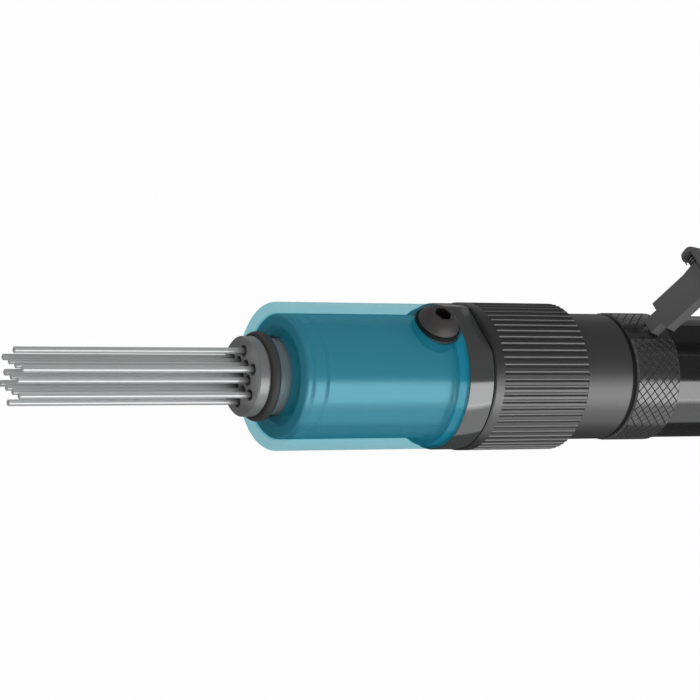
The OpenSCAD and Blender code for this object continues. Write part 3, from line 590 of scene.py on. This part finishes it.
def finish_mesh(mesh: bpy.types.Mesh, crease_deg: float = CREASE_DEG) -> None:
    """Merges doubled points, turns the faces outward and sets smooth shading with sharp creases.

    Args:
        mesh: The mesh.
        crease_deg: Edges that bend more than this stay sharp.
    """
    work = bmesh.new()
    work.from_mesh(mesh)
    bmesh.ops.remove_doubles(work, verts=work.verts, dist=SAME_POINT)
    bmesh.ops.recalc_face_normals(work, faces=work.faces)
    for face in work.faces:
        face.smooth = True
    for edge in work.edges:
        if len(edge.link_faces) == 2:
            edge.smooth = edge.calc_face_angle(0.0) < math.radians(crease_deg)
    work.to_mesh(mesh)
    work.free()
    mesh.update()


def applied(obj: bpy.types.Object) -> bpy.types.Mesh:
    """Gives a new mesh with the object's modifiers applied, and drops the modifiers.

    Args:
        obj: The object, whose mesh is exchanged for the new one.

    Returns:
        The new mesh.
    """
    bpy.context.view_layer.update()
    graph = bpy.context.evaluated_depsgraph_get()
    mesh = bpy.data.meshes.new_from_object(obj.evaluated_get(graph))
    obj.modifiers.clear()
    obj.data = mesh
    return mesh


def cut_away(obj: bpy.types.Object, cutters: list[bpy.types.Object]) -> None:
    """Cuts solids out of a piece and deletes the cutters.

    Args:
        obj: The piece.
        cutters: The solids to take away.
    """
    for cutter in cutters:
        modifier = obj.modifiers.new("cut", "BOOLEAN")
        modifier.operation = "DIFFERENCE"
        modifier.solver = "EXACT"
        modifier.object = cutter
    applied(obj)
    for cutter in cutters:
        bpy.data.objects.remove(cutter, do_unlink=True)


def ring_of_points(radius: float, sides: int, x: float) -> list[tuple[float, float]]:
    """Gives the corners of a regular shape.

    Args:
        radius: The distance of its corners from its centre.
        sides: How many sides it has.
        x: Its centre along the tool.

    Returns:
        The corners in XY, in order.
    """
    turns = [2 * math.pi * k / sides for k in range(sides)]
    return [(x + radius * math.cos(turn), radius * math.sin(turn)) for turn in turns]


def prism(name: str, outline: list[tuple[float, float]], low: float, high: float) -> bpy.types.Object:
    """Makes a prism over an outline in XY.

    Args:
        name: The object's name.
        outline: The corners, in order.
        low: The height of its bottom.
        high: The height of its top.

    Returns:
        The prism as an object.
    """
    n = len(outline)
    points = [Vector((x, y, z)) for z in (low, high) for x, y in outline]
    faces = [list(range(n)), list(range(n, 2 * n))]
    faces += [[i, (i + 1) % n, n + (i + 1) % n, n + i] for i in range(n)]
    return new_piece(name, mesh_from(name, points, faces))


def turned(
    name: str, outline: list[tuple[float, float]], place: Vector, upright: bool, sides: int
) -> bpy.types.Object:
    """Turns a closed outline about an axis.

    Args:
        name: The object's name.
        outline: Places along the axis with their radii, in order round the section.
        place: A point of the axis, from which the places count.
        upright: Whether the axis is along Z and not along X.
        sides: Steps round the axis.

    Returns:
        The turned object.
    """
    points, n = [], len(outline)
    for k in range(sides):
        turn = 2 * math.pi * k / sides
        for along, radius in outline:
            a, b = radius * math.cos(turn), radius * math.sin(turn)
            points.append(place + (Vector((a, b, along)) if upright else Vector((along, a, b))))
    faces = [
        [n * k + i, n * k + (i + 1) % n, n * ((k + 1) % sides) + (i + 1) % n, n * ((k + 1) % sides) + i]
        for k in range(sides)
        for i in range(n)
    ]
    return new_piece(name, mesh_from(name, points, faces))


def softened(node: str, body: Body, width: float, finish: Finish) -> bpy.types.Object:
    """Stands in for a node with a copy of it whose edges are rounded.

    Args:
        node: The node's name.
        body: The body it rides on.
        width: The width of the rounding.
        finish: The piece's finish.

    Returns:
        The new piece.
    """
    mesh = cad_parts[node].data.copy()
    work = bmesh.new()
    work.from_mesh(mesh)
    bmesh.ops.remove_doubles(work, verts=work.verts, dist=SAME_CAD_POINT)
    bmesh.ops.dissolve_limit(work, angle_limit=math.radians(FLAT_DEG), verts=work.verts, edges=work.edges)
    work.to_mesh(mesh)
    work.free()
    piece = new_piece(f"{node}_softened", mesh)
    modifier = piece.modifiers.new("round", "BEVEL")
    modifier.width = width
    modifier.segments = SOFT_STEPS
    modifier.limit_method = "ANGLE"
    modifier.angle_limit = math.radians(SOFT_EDGE_DEG)
    modifier.use_clamp_overlap = True
    finish_mesh(applied(piece), SOFT_CREASE_DEG)
    finish.put_on(piece)
    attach(piece, body.value)
    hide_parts(node)
    return piece


def wire(name: str, path: list[Vector], radius: float, axis: Vector, sides: int = 12) -> bpy.types.Object:
    """Makes a round wire along a path that winds about an axis.

    Args:
        name: The object's name.
        path: The wire's centre line.
        radius: The wire's radius.
        axis: The axis that the wire winds about.
        sides: Sides of the wire's section.

    Returns:
        The wire as an object.
    """
    points: list[Vector] = []
    last = len(path) - 1
    for i, centre in enumerate(path):
        along = (path[min(i + 1, last)] - path[max(i - 1, 0)]).normalized()
        across = axis.cross(along).normalized()
        upright = along.cross(across)
        for k in range(sides):
            turn = 2 * math.pi * k / sides
            points.append(centre + radius * (math.cos(turn) * across + math.sin(turn) * upright))
    faces = [
        [sides * i + k, sides * i + (k + 1) % sides, sides * (i + 1) + (k + 1) % sides, sides * (i + 1) + k]
        for i in range(last)
        for k in range(sides)
    ]
    faces.append(list(range(sides)))
    faces.append([sides * last + k for k in range(sides)])
    return new_piece(name, mesh_from(name, points, faces, WIRE_CREASE_DEG))


# Sub-assemblies


@dataclass
class Nose:
    """The needles, their guide and the pieces round the front tube."""

    plain: dict[str, Finish] = field(
        default_factory=lambda: {
            "needles": SHADE_FADED_NEEDLE,
            "needle_guide": NOSE_STEEL,
            "nose_ring": MOULDED_RUBBER,
            "front_tube": TUBE_STEEL,
            "screw_washer": UNDERHEAD_SHADE_BLACK,
            "screw_bush": BLACK_OXIDE,
            "needle_holder": TURNED_STEEL,
        }
    )
    band_round: float = 0.3 * MM

    def build(self) -> list[bpy.types.Object]:
        """Dresses the nodes and builds the band with softened edges."""
        dress_nodes(self.plain)
        return [softened("tube_band", Body.TOOL, self.band_round, BAND_STEEL)]


@dataclass
class ClearSleeve:
    """The see-through sleeve, closed in front round the needle guide, and the screw that holds it."""

    bore: float = 19.866 * MM
    skirt_r: float = 22.266 * MM
    skirt_len: float = 3.0 * MM
    wall: float = 1.4 * MM
    mouth: float = 12.6 * MM
    lip: float = 1.2 * MM
    lip_steps: int = 6
    sleeve_sides: int = 160
    screw_hole: float = 7.6 * MM
    hole_sides: int = 80
    shank: float = 4.0 * MM
    shank_bevel: float = 0.6 * MM
    flat: float = 3.7 * MM
    rim: float = 0.3 * MM
    dome_steps: int = 12
    screw_sides: int = 72
    screw_crease_deg: float = 25.0
    socket: float = 5.0 * MM
    socket_depth: float = 2.4 * MM
    socket_shade_margin: float = 0.5 * MM
    socket_shade_top: float = 0.2 * MM

    def sleeve(self) -> bpy.types.Object:
        """Builds the sleeve: a tube with a thin front wall, a rounded lip and a skirt behind.

        Returns:
            The sleeve, in place of its node.
        """
        low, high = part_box("guard_sleeve")
        outer, front, rear = high.z, low.x, high.x
        lip = []
        for i in range(self.lip_steps + 1):
            turn = math.pi / 2 * i / self.lip_steps
            lip.append((front + self.lip * (1 - math.sin(turn)), outer - self.lip * (1 - math.cos(turn))))
        outline = [(front, self.mouth), *reversed(lip), (rear, outer), (rear, self.skirt_r)]
        outline += [(rear - self.skirt_len, self.skirt_r), (rear - self.skirt_len, self.bore)]
        outline += [(front + self.wall, self.bore), (front + self.wall, self.mouth)]
        piece = turned("clear_sleeve", outline, Vector((0, 0, 0)), False, self.sleeve_sides)
        hole = ring_of_points(self.screw_hole, self.hole_sides, SCREW_X)
        cut_away(piece, [prism("screw_hole", hole, 0.0, 2 * outer)])
        finish_mesh(piece.data)
        dress(piece, CLEAR_TEAL.material())
        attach(piece, Body.TOOL.value)
        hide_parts("guard_sleeve")
        return piece

    def screw(self) -> bpy.types.Object:
        """Builds the button-headed screw with the flat round its hexagon socket.

        Returns:
            The screw, in place of its node.
        """
        low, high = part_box("sleeve_screw")
        head = (high.x - low.x) / 2
        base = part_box("screw_washer")[1].z
        rise = high.z - base - self.rim
        centre = high.z - (head**2 - self.flat**2 + rise**2) / (2 * rise)
        ball = math.hypot(self.flat, high.z - centre)
        first, last = math.asin(self.flat / ball), math.asin(head / ball)
        outline = [(low.z, 0.0), (low.z, self.shank - self.shank_bevel)]
        outline += [(low.z + self.shank_bevel, self.shank), (base, self.shank), (base, head)]
        for i in range(self.dome_steps + 1):
            turn = last + (first - last) * i / self.dome_steps
            outline.append((centre + ball * math.cos(turn), ball * math.sin(turn)))
        outline.append((high.z, 0.0))
        piece = turned("button_screw", outline, Vector((SCREW_X, 0, 0)), True, self.screw_sides)
        hexagon = ring_of_points(self.socket / math.sqrt(3), 6, SCREW_X)
        floor = high.z - self.socket_depth
        cut_away(piece, [prism("socket_cutter", hexagon, floor, high.z + CUTTER_CLEAR)])
        finish_mesh(piece.data, self.screw_crease_deg)
        BLACK_OXIDE.put_on(piece)
        # The socket's inside takes the near black of the washer: painted shade in the recess.
        piece.data.materials.append(UNDERHEAD_SHADE_BLACK.material())
        for face in piece.data.polygons:
            place = face.center
            near = math.hypot(place.x - SCREW_X, place.y) < self.socket / 2 + self.socket_shade_margin
            inside = floor - self.socket_shade_margin < place.z < high.z - self.socket_shade_top
            face.material_index = int(near and inside)
        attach(piece, Body.TOOL.value)
        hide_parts("sleeve_screw")
        return piece

    def build(self) -> list[bpy.types.Object]:
        """Builds the sleeve and its screw."""
        return [self.sleeve(), self.screw()]


@dataclass
class KnurledRing:
    """The diamond knurled ring at the front of the handle."""

    front: float = field(init=False)
    length: float = field(init=False)
    crease_deg: float = 14.0
    cut_snap: float = 1e-8
    radius: float = 21.1 * MM
    bore: float = 18.55 * MM
    chamfer: float = 0.5 * MM
    starts: int = 40
    lead_pitch: float = 3.15 * MM
    groove: float = 0.17
    depth: float = 0.35 * MM
    end_drop: float = 0.15 * MM
    top_margin: float = 0.035 * MM
    slot_w: float = 6.6 * MM
    slot_y: float = 0.0
    floor: float = 20.0 * MM
    pocket_floor: float = 18.8 * MM
    pocket_end: float = -143.82 * MM
    pocket_len: float = 7.0 * MM
    pocket_steps: int = 16
    wall_margin: float = 0.1 * MM

    def __post_init__(self) -> None:
        """Reads the ring's place from its node."""
        low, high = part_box("knurled_ring")
        self.front, self.length = low.x, high.x - low.x

    def point(self, turn: float, step: float, radius: float) -> Vector:
        """Gives the point of the knurl's lattice at a turn and a step along the ring.

        Args:
            turn: Half pitches round the ring.
            step: Half pitches along the ring.
            radius: Distance from the axis.

        Returns:
            The point.
        """
        angle = math.pi * turn / self.starts
        x = self.front + self.length / 2 + step * self.lead_pitch / 2
        return Vector((x, radius * math.cos(angle), radius * math.sin(angle)))

    def diamonds(self) -> bmesh.types.BMesh:
        """Makes the knurled skin, longer than the ring at both ends.

        Returns:
            The skin as a mesh at work.
        """
        work = bmesh.new()
        reach = math.ceil(self.length / self.lead_pitch) + 2
        low = self.radius - self.depth
        for turn in range(2 * self.starts):
            for step in range(-reach, reach + 1):
                if (turn + step) % 2:
                    self.diamond(work, turn, step, low)
        bmesh.ops.remove_doubles(work, verts=work.verts, dist=SAME_POINT)
        return work

    def diamond(self, work: bmesh.types.BMesh, turn: int, step: int, low: float) -> None:
        """Adds one raised diamond with the sides of the grooves round it.

        Args:
            work: The mesh that gets it.
            turn: The diamond's place round the ring.
            step: Its place along the ring.
            low: The radius of the grooves' bottom.
        """
        around = [(0, 1), (0.5, 0.5), (1, 0), (0.5, -0.5), (0, -1), (-0.5, -0.5), (-1, 0), (-0.5, 0.5)]
        keep = 1 - self.groove
        outer = [work.verts.new(self.point(turn + a, step + b, low)) for a, b in around]
        tops = [self.point(turn + keep * a, step + keep * b, self.radius) for a, b in around]
        inner = [work.verts.new(top) for top in tops]
        centre = work.verts.new(self.point(turn, step, self.radius))
        for i in range(len(around)):
            j = (i + 1) % len(around)
            work.faces.new((outer[i], outer[j], inner[j], inner[i]))
            work.faces.new((inner[i], inner[j], centre))

    def close(self, work: bmesh.types.BMesh) -> None:
        """Trims the skin to the ring's length and closes it with chamfers, end faces and bore.

        Args:
            work: The knurled skin.
        """
        rims = []
        for side, x in ((-1, self.front + self.chamfer), (1, self.front + self.length - self.chamfer)):
            everything = list(work.verts) + list(work.edges) + list(work.faces)
            plane = {"plane_co": (x, 0, 0), "plane_no": (side, 0, 0)}
            bmesh.ops.bisect_plane(work, geom=everything, dist=self.cut_snap, clear_outer=True, **plane)
            open_edges = (e for e in work.edges if e.is_boundary)
            rim = [e for e in open_edges if all(abs(v.co.x - x) < ON_PLANE for v in e.verts)]
            for dx, radius in ((self.chamfer, self.radius - self.depth - self.end_drop), (0.0, self.bore)):
                grown = bmesh.ops.extrude_edge_only(work, edges=rim)["geom"]
                for vert in (g for g in grown if isinstance(g, bmesh.types.BMVert)):
                    ratio = radius / math.hypot(vert.co.y, vert.co.z)
                    vert.co = Vector((vert.co.x + side * dx, vert.co.y * ratio, vert.co.z * ratio))
                rim = [g for g in grown if isinstance(g, bmesh.types.BMEdge)]
            rims.append(rim)
        bmesh.ops.bridge_loops(work, edges=rims[0] + rims[1])

    def cutters(self) -> list[bpy.types.Object]:
        """Makes the solids that cut the latch's slot and the round-ended pocket under its toe.

        Returns:
            The two solids.
        """
        half = self.slot_w / 2
        low, high = self.slot_y - half, self.slot_y + half
        tall = 1.2 * self.radius
        start, back = self.front - CUTTER_CLEAR, self.front + self.length + CUTTER_CLEAR
        pocket = []
        for x, side in ((self.pocket_end, 0), (self.pocket_end - self.pocket_len, 1)):
            for i in range(self.pocket_steps + 1):
                angle = math.pi * (i / self.pocket_steps - 0.5 + side)
                pocket.append((x + half * math.cos(angle), self.slot_y + half * math.sin(angle)))
        return [
            prism("slot_cutter", [(start, low), (back, low), (back, high), (start, high)], self.floor, tall),
            prism("pocket_cutter", pocket, self.pocket_floor, tall),
        ]

    def build(self) -> list[bpy.types.Object]:
        """Builds the ring, with its grooves and ends darker than the diamonds' tops.

        Returns:
            The ring, in place of its node.
        """
        work = self.diamonds()
        self.close(work)
        mesh = bpy.data.meshes.new("knurled_ring_relief")
        work.to_mesh(mesh)
        work.free()
        finish_mesh(mesh, self.crease_deg)
        ring = new_piece("knurled_ring_relief", mesh)
        cut_away(ring, self.cutters())
        finish_mesh(ring.data, self.crease_deg)
        KNURL_STEEL.put_on(ring)
        ring.data.materials.append(GROOVE_STEEL.material())
        for face in ring.data.polygons:
            centre = face.center
            inside = self.front + self.chamfer < centre.x < self.front + self.length - self.chamfer
            deep = self.radius - self.depth < math.hypot(centre.y, centre.z) < self.radius - self.top_margin
            wall = deep and abs(centre.y - self.slot_y) > self.slot_w / 2 + self.wall_margin
            face.material_index = int(not inside or wall or (deep and centre.z < 0))
        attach(ring, Body.TOOL.value)
        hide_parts("knurled_ring")
        return [ring]


@dataclass
class Drive:
    """The collar, the neck, the hammer inside and the needles' spring."""

    plain: dict[str, Finish] = field(
        default_factory=lambda: {
            "anvil": TURNED_STEEL,
            "anvil_bush": BEARING_BRONZE,
            "fluted_collar": COLLAR_STEEL,
            "flange_seal": SEAL_RUBBER,
            "neck_hub": NECK_STEEL,
            "neck_seal": SEAL_RUBBER,
            "cylinder_sleeve": TURNED_STEEL,
            "piston": TURNED_STEEL,
            "valve_seat": TURNED_STEEL,
            "valve_plate": SPRING_WIRE,
            "valve_cap": TURNED_STEEL,
        }
    )
    needle_wire: float = 1.1 * MM
    needle_turns: int = 12
    needle_steps: int = 28
    needle_keep: float = 0.912

    def spring(self) -> bpy.types.Object:
        """Builds the spring that draws the needles back, inside its node's own box.

        Returns:
            The spring, in place of its node.
        """
        low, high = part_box("needle_spring")
        coil_r = (high.y - low.y) / 2 - self.needle_wire
        start, length = low.x + self.needle_wire, high.x - low.x - 2 * self.needle_wire
        steps = self.needle_turns * self.needle_steps
        path = []
        for i in range(steps + 1):
            turn = 2 * math.pi * i / self.needle_steps
            place = (start + length * i / steps, coil_r * math.sin(turn), -coil_r * math.cos(turn))
            path.append(Vector(place))
        piece = wire("needle_spring_wire", path, self.needle_wire, Vector((1, 0, 0)))
        SPRING_WIRE.put_on(piece)
        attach(piece, Body.TOOL.value)
        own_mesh(piece)
        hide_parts("needle_spring")
        return piece

    def build(self) -> list[bpy.types.Object]:
        """Dresses the nodes and builds the spring."""
        dress_nodes(self.plain)
        return [self.spring()]


@dataclass
class Grip:
    """The handle, the throttle valve and the rear end."""

    plain: dict[str, Finish] = field(
        default_factory=lambda: {
            "handle": GLOSS_BLACK,
            "lever_pin": TURNED_STEEL,
            "throttle_plunger": BRIGHT_NEEDLE,
            "plunger_bush": BEARING_BRONZE,
            "plunger_seal": SEAL_RUBBER,
            "throttle_ball": BRIGHT_NEEDLE,
            "rear_cap": GLOSS_BLACK,
            "inlet_screen": SPRING_WIRE,
            "exhaust_ring": PRESSED_FELT,
        }
    )
    ball_wire: float = 0.45 * MM
    ball_turns: int = 5
    ball_steps: int = 24
    ball_keep: float = 0.66
    valve_x: float = -55.0 * MM
    inlet_round: float = 0.25 * MM

    def ball_spring(self) -> bpy.types.Object:
        """Builds the spring under the throttle ball, inside its node's own box.

        Returns:
            The spring, in place of its node.
        """
        low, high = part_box("ball_spring")
        coil_r = (high.x - low.x) / 2 - self.ball_wire
        start, length = low.z + self.ball_wire, high.z - low.z - 2 * self.ball_wire
        steps = self.ball_turns * self.ball_steps
        path = []
        for i in range(steps + 1):
            turn = 2 * math.pi * i / self.ball_steps
            x, y = self.valve_x + coil_r * math.cos(turn), coil_r * math.sin(turn)
            path.append(Vector((x, y, start + length * i / steps)))
        piece = wire("ball_spring_wire", path, self.ball_wire, Vector((0, 0, 1)))
        SPRING_WIRE.put_on(piece)
        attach(piece, Body.TOOL.value)
        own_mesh(piece)
        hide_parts("ball_spring")
        return piece

    def build(self) -> list[bpy.types.Object]:
        """Dresses the nodes, and builds the inlet with softened edges and the spring."""
        dress_nodes(self.plain)
        return [softened("inlet_bushing", Body.TOOL, self.inlet_round, TURNED_STEEL), self.ball_spring()]


@dataclass
class ThrottleLever:
    """The lever with its lock-off latch, and the latch's pin and spring."""

    sheet_round: float = 0.35 * MM
    latch_round: float = 0.45 * MM
    rise_deg: float = 11.0
    wire: float = 0.35 * MM
    wire_sides: int = 10
    coil_r: float = 2.0 * MM
    turns: float = 2.25
    turn_steps: int = 24
    outer_y: float = 8.9 * MM
    span: float = 2.65 * MM
    first_leg: tuple[float, ...] = (5.0 * MM, 3.5 * MM, 2.0 * MM)
    last_leg: tuple[float, ...] = (3.0 * MM, 5.0 * MM, 7.0 * MM)

    def latch_spring(self) -> bpy.types.Object:
        """Builds the torsion spring round the latch's pin, with its two legs.

        Returns:
            The spring, in place of its node.
        """
        low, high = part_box("latch_pin")
        pin = Vector(((low.x + high.x) / 2, self.outer_y, (low.z + high.z) / 2))
        steps = round(self.turns * self.turn_steps)
        coil = []
        for i in range(steps + 1):
            turn = math.pi / 2 + 2 * math.pi * i / self.turn_steps
            x, y = self.coil_r * math.cos(turn), self.coil_r * math.sin(turn)
            coil.append(Vector((x, y, self.span * i / steps)))
        first = [coil[0] + Vector((d, 0, 0)) for d in self.first_leg]
        last = [coil[-1] - Vector((0, d, 0)) for d in self.last_leg]
        upright = Matrix.Rotation(math.radians(90), 4, "X")
        lean = Matrix.Rotation(math.radians(self.rise_deg), 4, "Y")
        place = Matrix.Translation(pin) @ lean @ upright
        path = [place @ p for p in first + coil + last]
        piece = wire("latch_spring_wire", path, self.wire, Vector((0, 1, 0)), self.wire_sides)
        SPRING_WIRE.put_on(piece)
        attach(piece, Body.LEVER.value)
        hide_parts("latch_spring")
        return piece

    def build(self) -> list[bpy.types.Object]:
        """Builds the lever, the latch and the spring, and dresses the pin.

        Returns:
            The new pieces.
        """
        TURNED_STEEL.put_on(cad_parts["latch_pin"])
        return [
            softened("throttle_lever", Body.LEVER, self.sheet_round, LEVER_COAT),
            softened("safety_latch", Body.LATCH, self.latch_round, LEVER_COAT),
            self.latch_spring(),
        ]


# Camera, floor and light


@dataclass
class Studio:
    """The camera at the photograph's angle, the pale floor and the soft light."""

    aim: Vector = field(default_factory=lambda: Vector((-250.0, 0.0, 0.0)) * MM)
    distance: float = 949.0 * MM
    lens: float = 154.29
    sensor: float = 36.0
    clip_start: float = 10.0 * MM
    yaw_deg: float = 30.7
    roll_deg: float = 45.0
    lift_deg: float = 0.502
    floor_z: float = -23.95 * MM
    floor_size: float = 4.0
    floor_tone: float = 0.8
    floor_white: float = 0.97
    ambient: float = 0.62
    dark: float = 0.045
    rear_card: float = 0.22
    rear_from: float = 120.0 * MM
    near_card: float = 0.36
    near_from: float = 37.0 * MM
    far_card: float = 0.55
    far_from: float = 280.0 * MM
    sky_rear: float = 0.3
    sky_top: float = 0.3
    box_place: Vector = field(default_factory=lambda: Vector((0.3, -0.9, 0.31)))
    box_aim: Vector = field(default_factory=lambda: Vector((0.3, 0.0, 0.31)))
    box_width: float = 1.7
    box_height: float = 0.66
    box_watts: float = 4.2

    def camera(self) -> None:
        """Makes the camera, which keeps the tool's axis level in the picture."""
        yaw, roll, lift = (math.radians(a) for a in (self.yaw_deg, self.roll_deg, self.lift_deg))
        right = Vector((math.cos(yaw), -math.sin(yaw) * math.cos(roll), math.sin(yaw) * math.sin(roll)))
        up = Vector((0.0, math.sin(roll), math.cos(roll)))
        back = Vector((-math.sin(yaw), -math.cos(yaw) * math.cos(roll), math.cos(yaw) * math.sin(roll)))
        tipped_up = up * math.cos(lift) + back * math.sin(lift)
        tipped_back = back * math.cos(lift) - up * math.sin(lift)
        data = bpy.data.cameras.new("camera")
        data.lens = self.lens
        data.sensor_width = self.sensor
        data.clip_start = self.clip_start
        obj = bpy.data.objects.new("camera", data)
        bpy.context.scene.collection.objects.link(obj)
        place = Matrix((right, tipped_up, tipped_back)).transposed().to_4x4()
        place.translation = self.aim + back * self.distance
        obj.matrix_world = place
        bpy.context.scene.camera = obj

    def world(self) -> None:
        """Makes the world: white to the camera, dim to metal and soft grey to everything else."""
        world = bpy.data.worlds.new("studio")
        world.use_nodes = True
        bpy.context.scene.world = world
        tree = world.node_tree
        path = tree.nodes.new("ShaderNodeLightPath")
        seen = math_node(tree, "MAXIMUM", path.outputs["Is Camera Ray"], path.outputs["Is Transmission Ray"])
        glossy = tree.nodes.new("ShaderNodeMix")
        glossy.inputs["A"].default_value = self.ambient
        coord = tree.nodes.new("ShaderNodeTexCoord")
        split = tree.nodes.new("ShaderNodeSeparateXYZ")
        tree.links.new(coord.outputs["Generated"], split.inputs[0])
        rear = math_node(tree, "GREATER_THAN", split.outputs["Y"], self.sky_rear)
        low = math_node(tree, "LESS_THAN", split.outputs["Z"], self.sky_top)
        low = math_node(tree, "MULTIPLY", low, self.rear_card / 2)
        card = math_node(tree, "ADD", math_node(tree, "MULTIPLY", rear, low), self.dark)
        tree.links.new(card, glossy.inputs["B"])
        tree.links.new(path.outputs["Is Glossy Ray"], glossy.inputs["Factor"])
        strength = tree.nodes.new("ShaderNodeMix")
        strength.inputs["B"].default_value = 1.0
        tree.links.new(glossy.outputs["Result"], strength.inputs["A"])
        tree.links.new(seen, strength.inputs["Factor"])
        background = tree.nodes["Background"]
        tree.links.new(strength.outputs["Result"], background.inputs["Strength"])
        background.inputs["Color"].default_value = (1.0, 1.0, 1.0, 1.0)

    def floor_glow(self, tree: Tree) -> Socket:
        """Adds nodes that zone the floor like studio cards, as metal sees it.

        Args:
            tree: The floor's material tree.

        Returns:
            The strength of the glow: brightest far in front, dark under the tool, faint behind.
        """
        coord = tree.nodes.new("ShaderNodeTexCoord")
        split = tree.nodes.new("ShaderNodeSeparateXYZ")
        tree.links.new(coord.outputs["Object"], split.inputs[0])
        behind = split.outputs["Y"]
        forward = math_node(tree, "MULTIPLY", behind, -1.0)
        glow = self.dark
        for side, start, card in (
            (forward, self.far_from, self.far_card),
            (forward, self.near_from, self.near_card),
            (behind, self.rear_from, self.rear_card),
        ):
            zone = math_node(tree, "MULTIPLY", math_node(tree, "GREATER_THAN", side, start), card)
            glow = math_node(tree, "ADD", zone, glow)
        return glow

    def floor(self) -> None:
        """Makes the floor: white to the camera with a faint shadow, and zoned to metal."""
        far = self.floor_size
        square = ((-far, -far), (far, -far), (far, far), (-far, far))
        corners = [Vector((x, y, self.floor_z)) for x, y in square]
        obj = new_piece("floor", mesh_from("floor", corners, [[0, 1, 2, 3]]))
        mat = bpy.data.materials.new("pale_floor")
        mat.use_nodes = True
        tree = mat.node_tree
        tree.nodes.clear()
        out = tree.nodes.new("ShaderNodeOutputMaterial")
        path = tree.nodes.new("ShaderNodeLightPath")
        matt = tree.nodes.new("ShaderNodeBsdfDiffuse")
        matt.inputs["Color"].default_value = (self.floor_tone, self.floor_tone, self.floor_tone, 1.0)
        white = tree.nodes.new("ShaderNodeEmission")
        cards = tree.nodes.new("ShaderNodeEmission")
        tree.links.new(self.floor_glow(tree), cards.inputs["Strength"])
        seen = math_node(tree, "MAXIMUM", path.outputs["Is Camera Ray"], path.outputs["Is Transmission Ray"])
        pale = tree.nodes.new("ShaderNodeMixShader")
        tree.links.new(math_node(tree, "MULTIPLY", seen, self.floor_white), pale.inputs[0])
        tree.links.new(matt.outputs[0], pale.inputs[1])
        tree.links.new(white.outputs[0], pale.inputs[2])
        both = tree.nodes.new("ShaderNodeMixShader")
        tree.links.new(path.outputs["Is Glossy Ray"], both.inputs[0])
        tree.links.new(pale.outputs[0], both.inputs[1])
        tree.links.new(cards.outputs[0], both.inputs[2])
        tree.links.new(both.outputs[0], out.inputs["Surface"])
        dress(obj, mat)

    def soft_box(self) -> None:
        """Adds the standing soft box in front, which the camera doesn't see."""
        data = bpy.data.lights.new("front_box", "AREA")
        data.shape = "RECTANGLE"
        data.size = self.box_width
        data.size_y = self.box_height
        data.energy = self.box_watts
        obj = bpy.data.objects.new("front_box", data)
        bpy.context.scene.collection.objects.link(obj)
        turn = (self.box_aim - self.box_place).to_track_quat("-Z", "Y").to_matrix().to_4x4()
        obj.matrix_world = Matrix.Translation(self.box_place) @ turn
        obj.visible_camera = False

    def build(self) -> None:
        """Builds the world, the floor and the light; main makes the camera before all pieces."""
        self.world()
        self.floor()
        self.soft_box()


def main() -> None:
    """Builds the scene: the camera first, then each sub-assembly in order, then the studio."""
    logging.basicConfig(level=logging.INFO, format="%(message)s")
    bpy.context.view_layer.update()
    bpy.context.scene.view_settings.view_transform = "Standard"
    studio = Studio()
    studio.camera()
    for part in (Nose(), ClearSleeve(), Drive(), KnurledRing(), Grip(), ThrottleLever()):
        for piece in part.build():
            LOG.info("%s: %s, %d faces", type(part).__name__, piece.name, len(piece.data.polygons))
    studio.build()


if __name__ == "__main__":
    main()
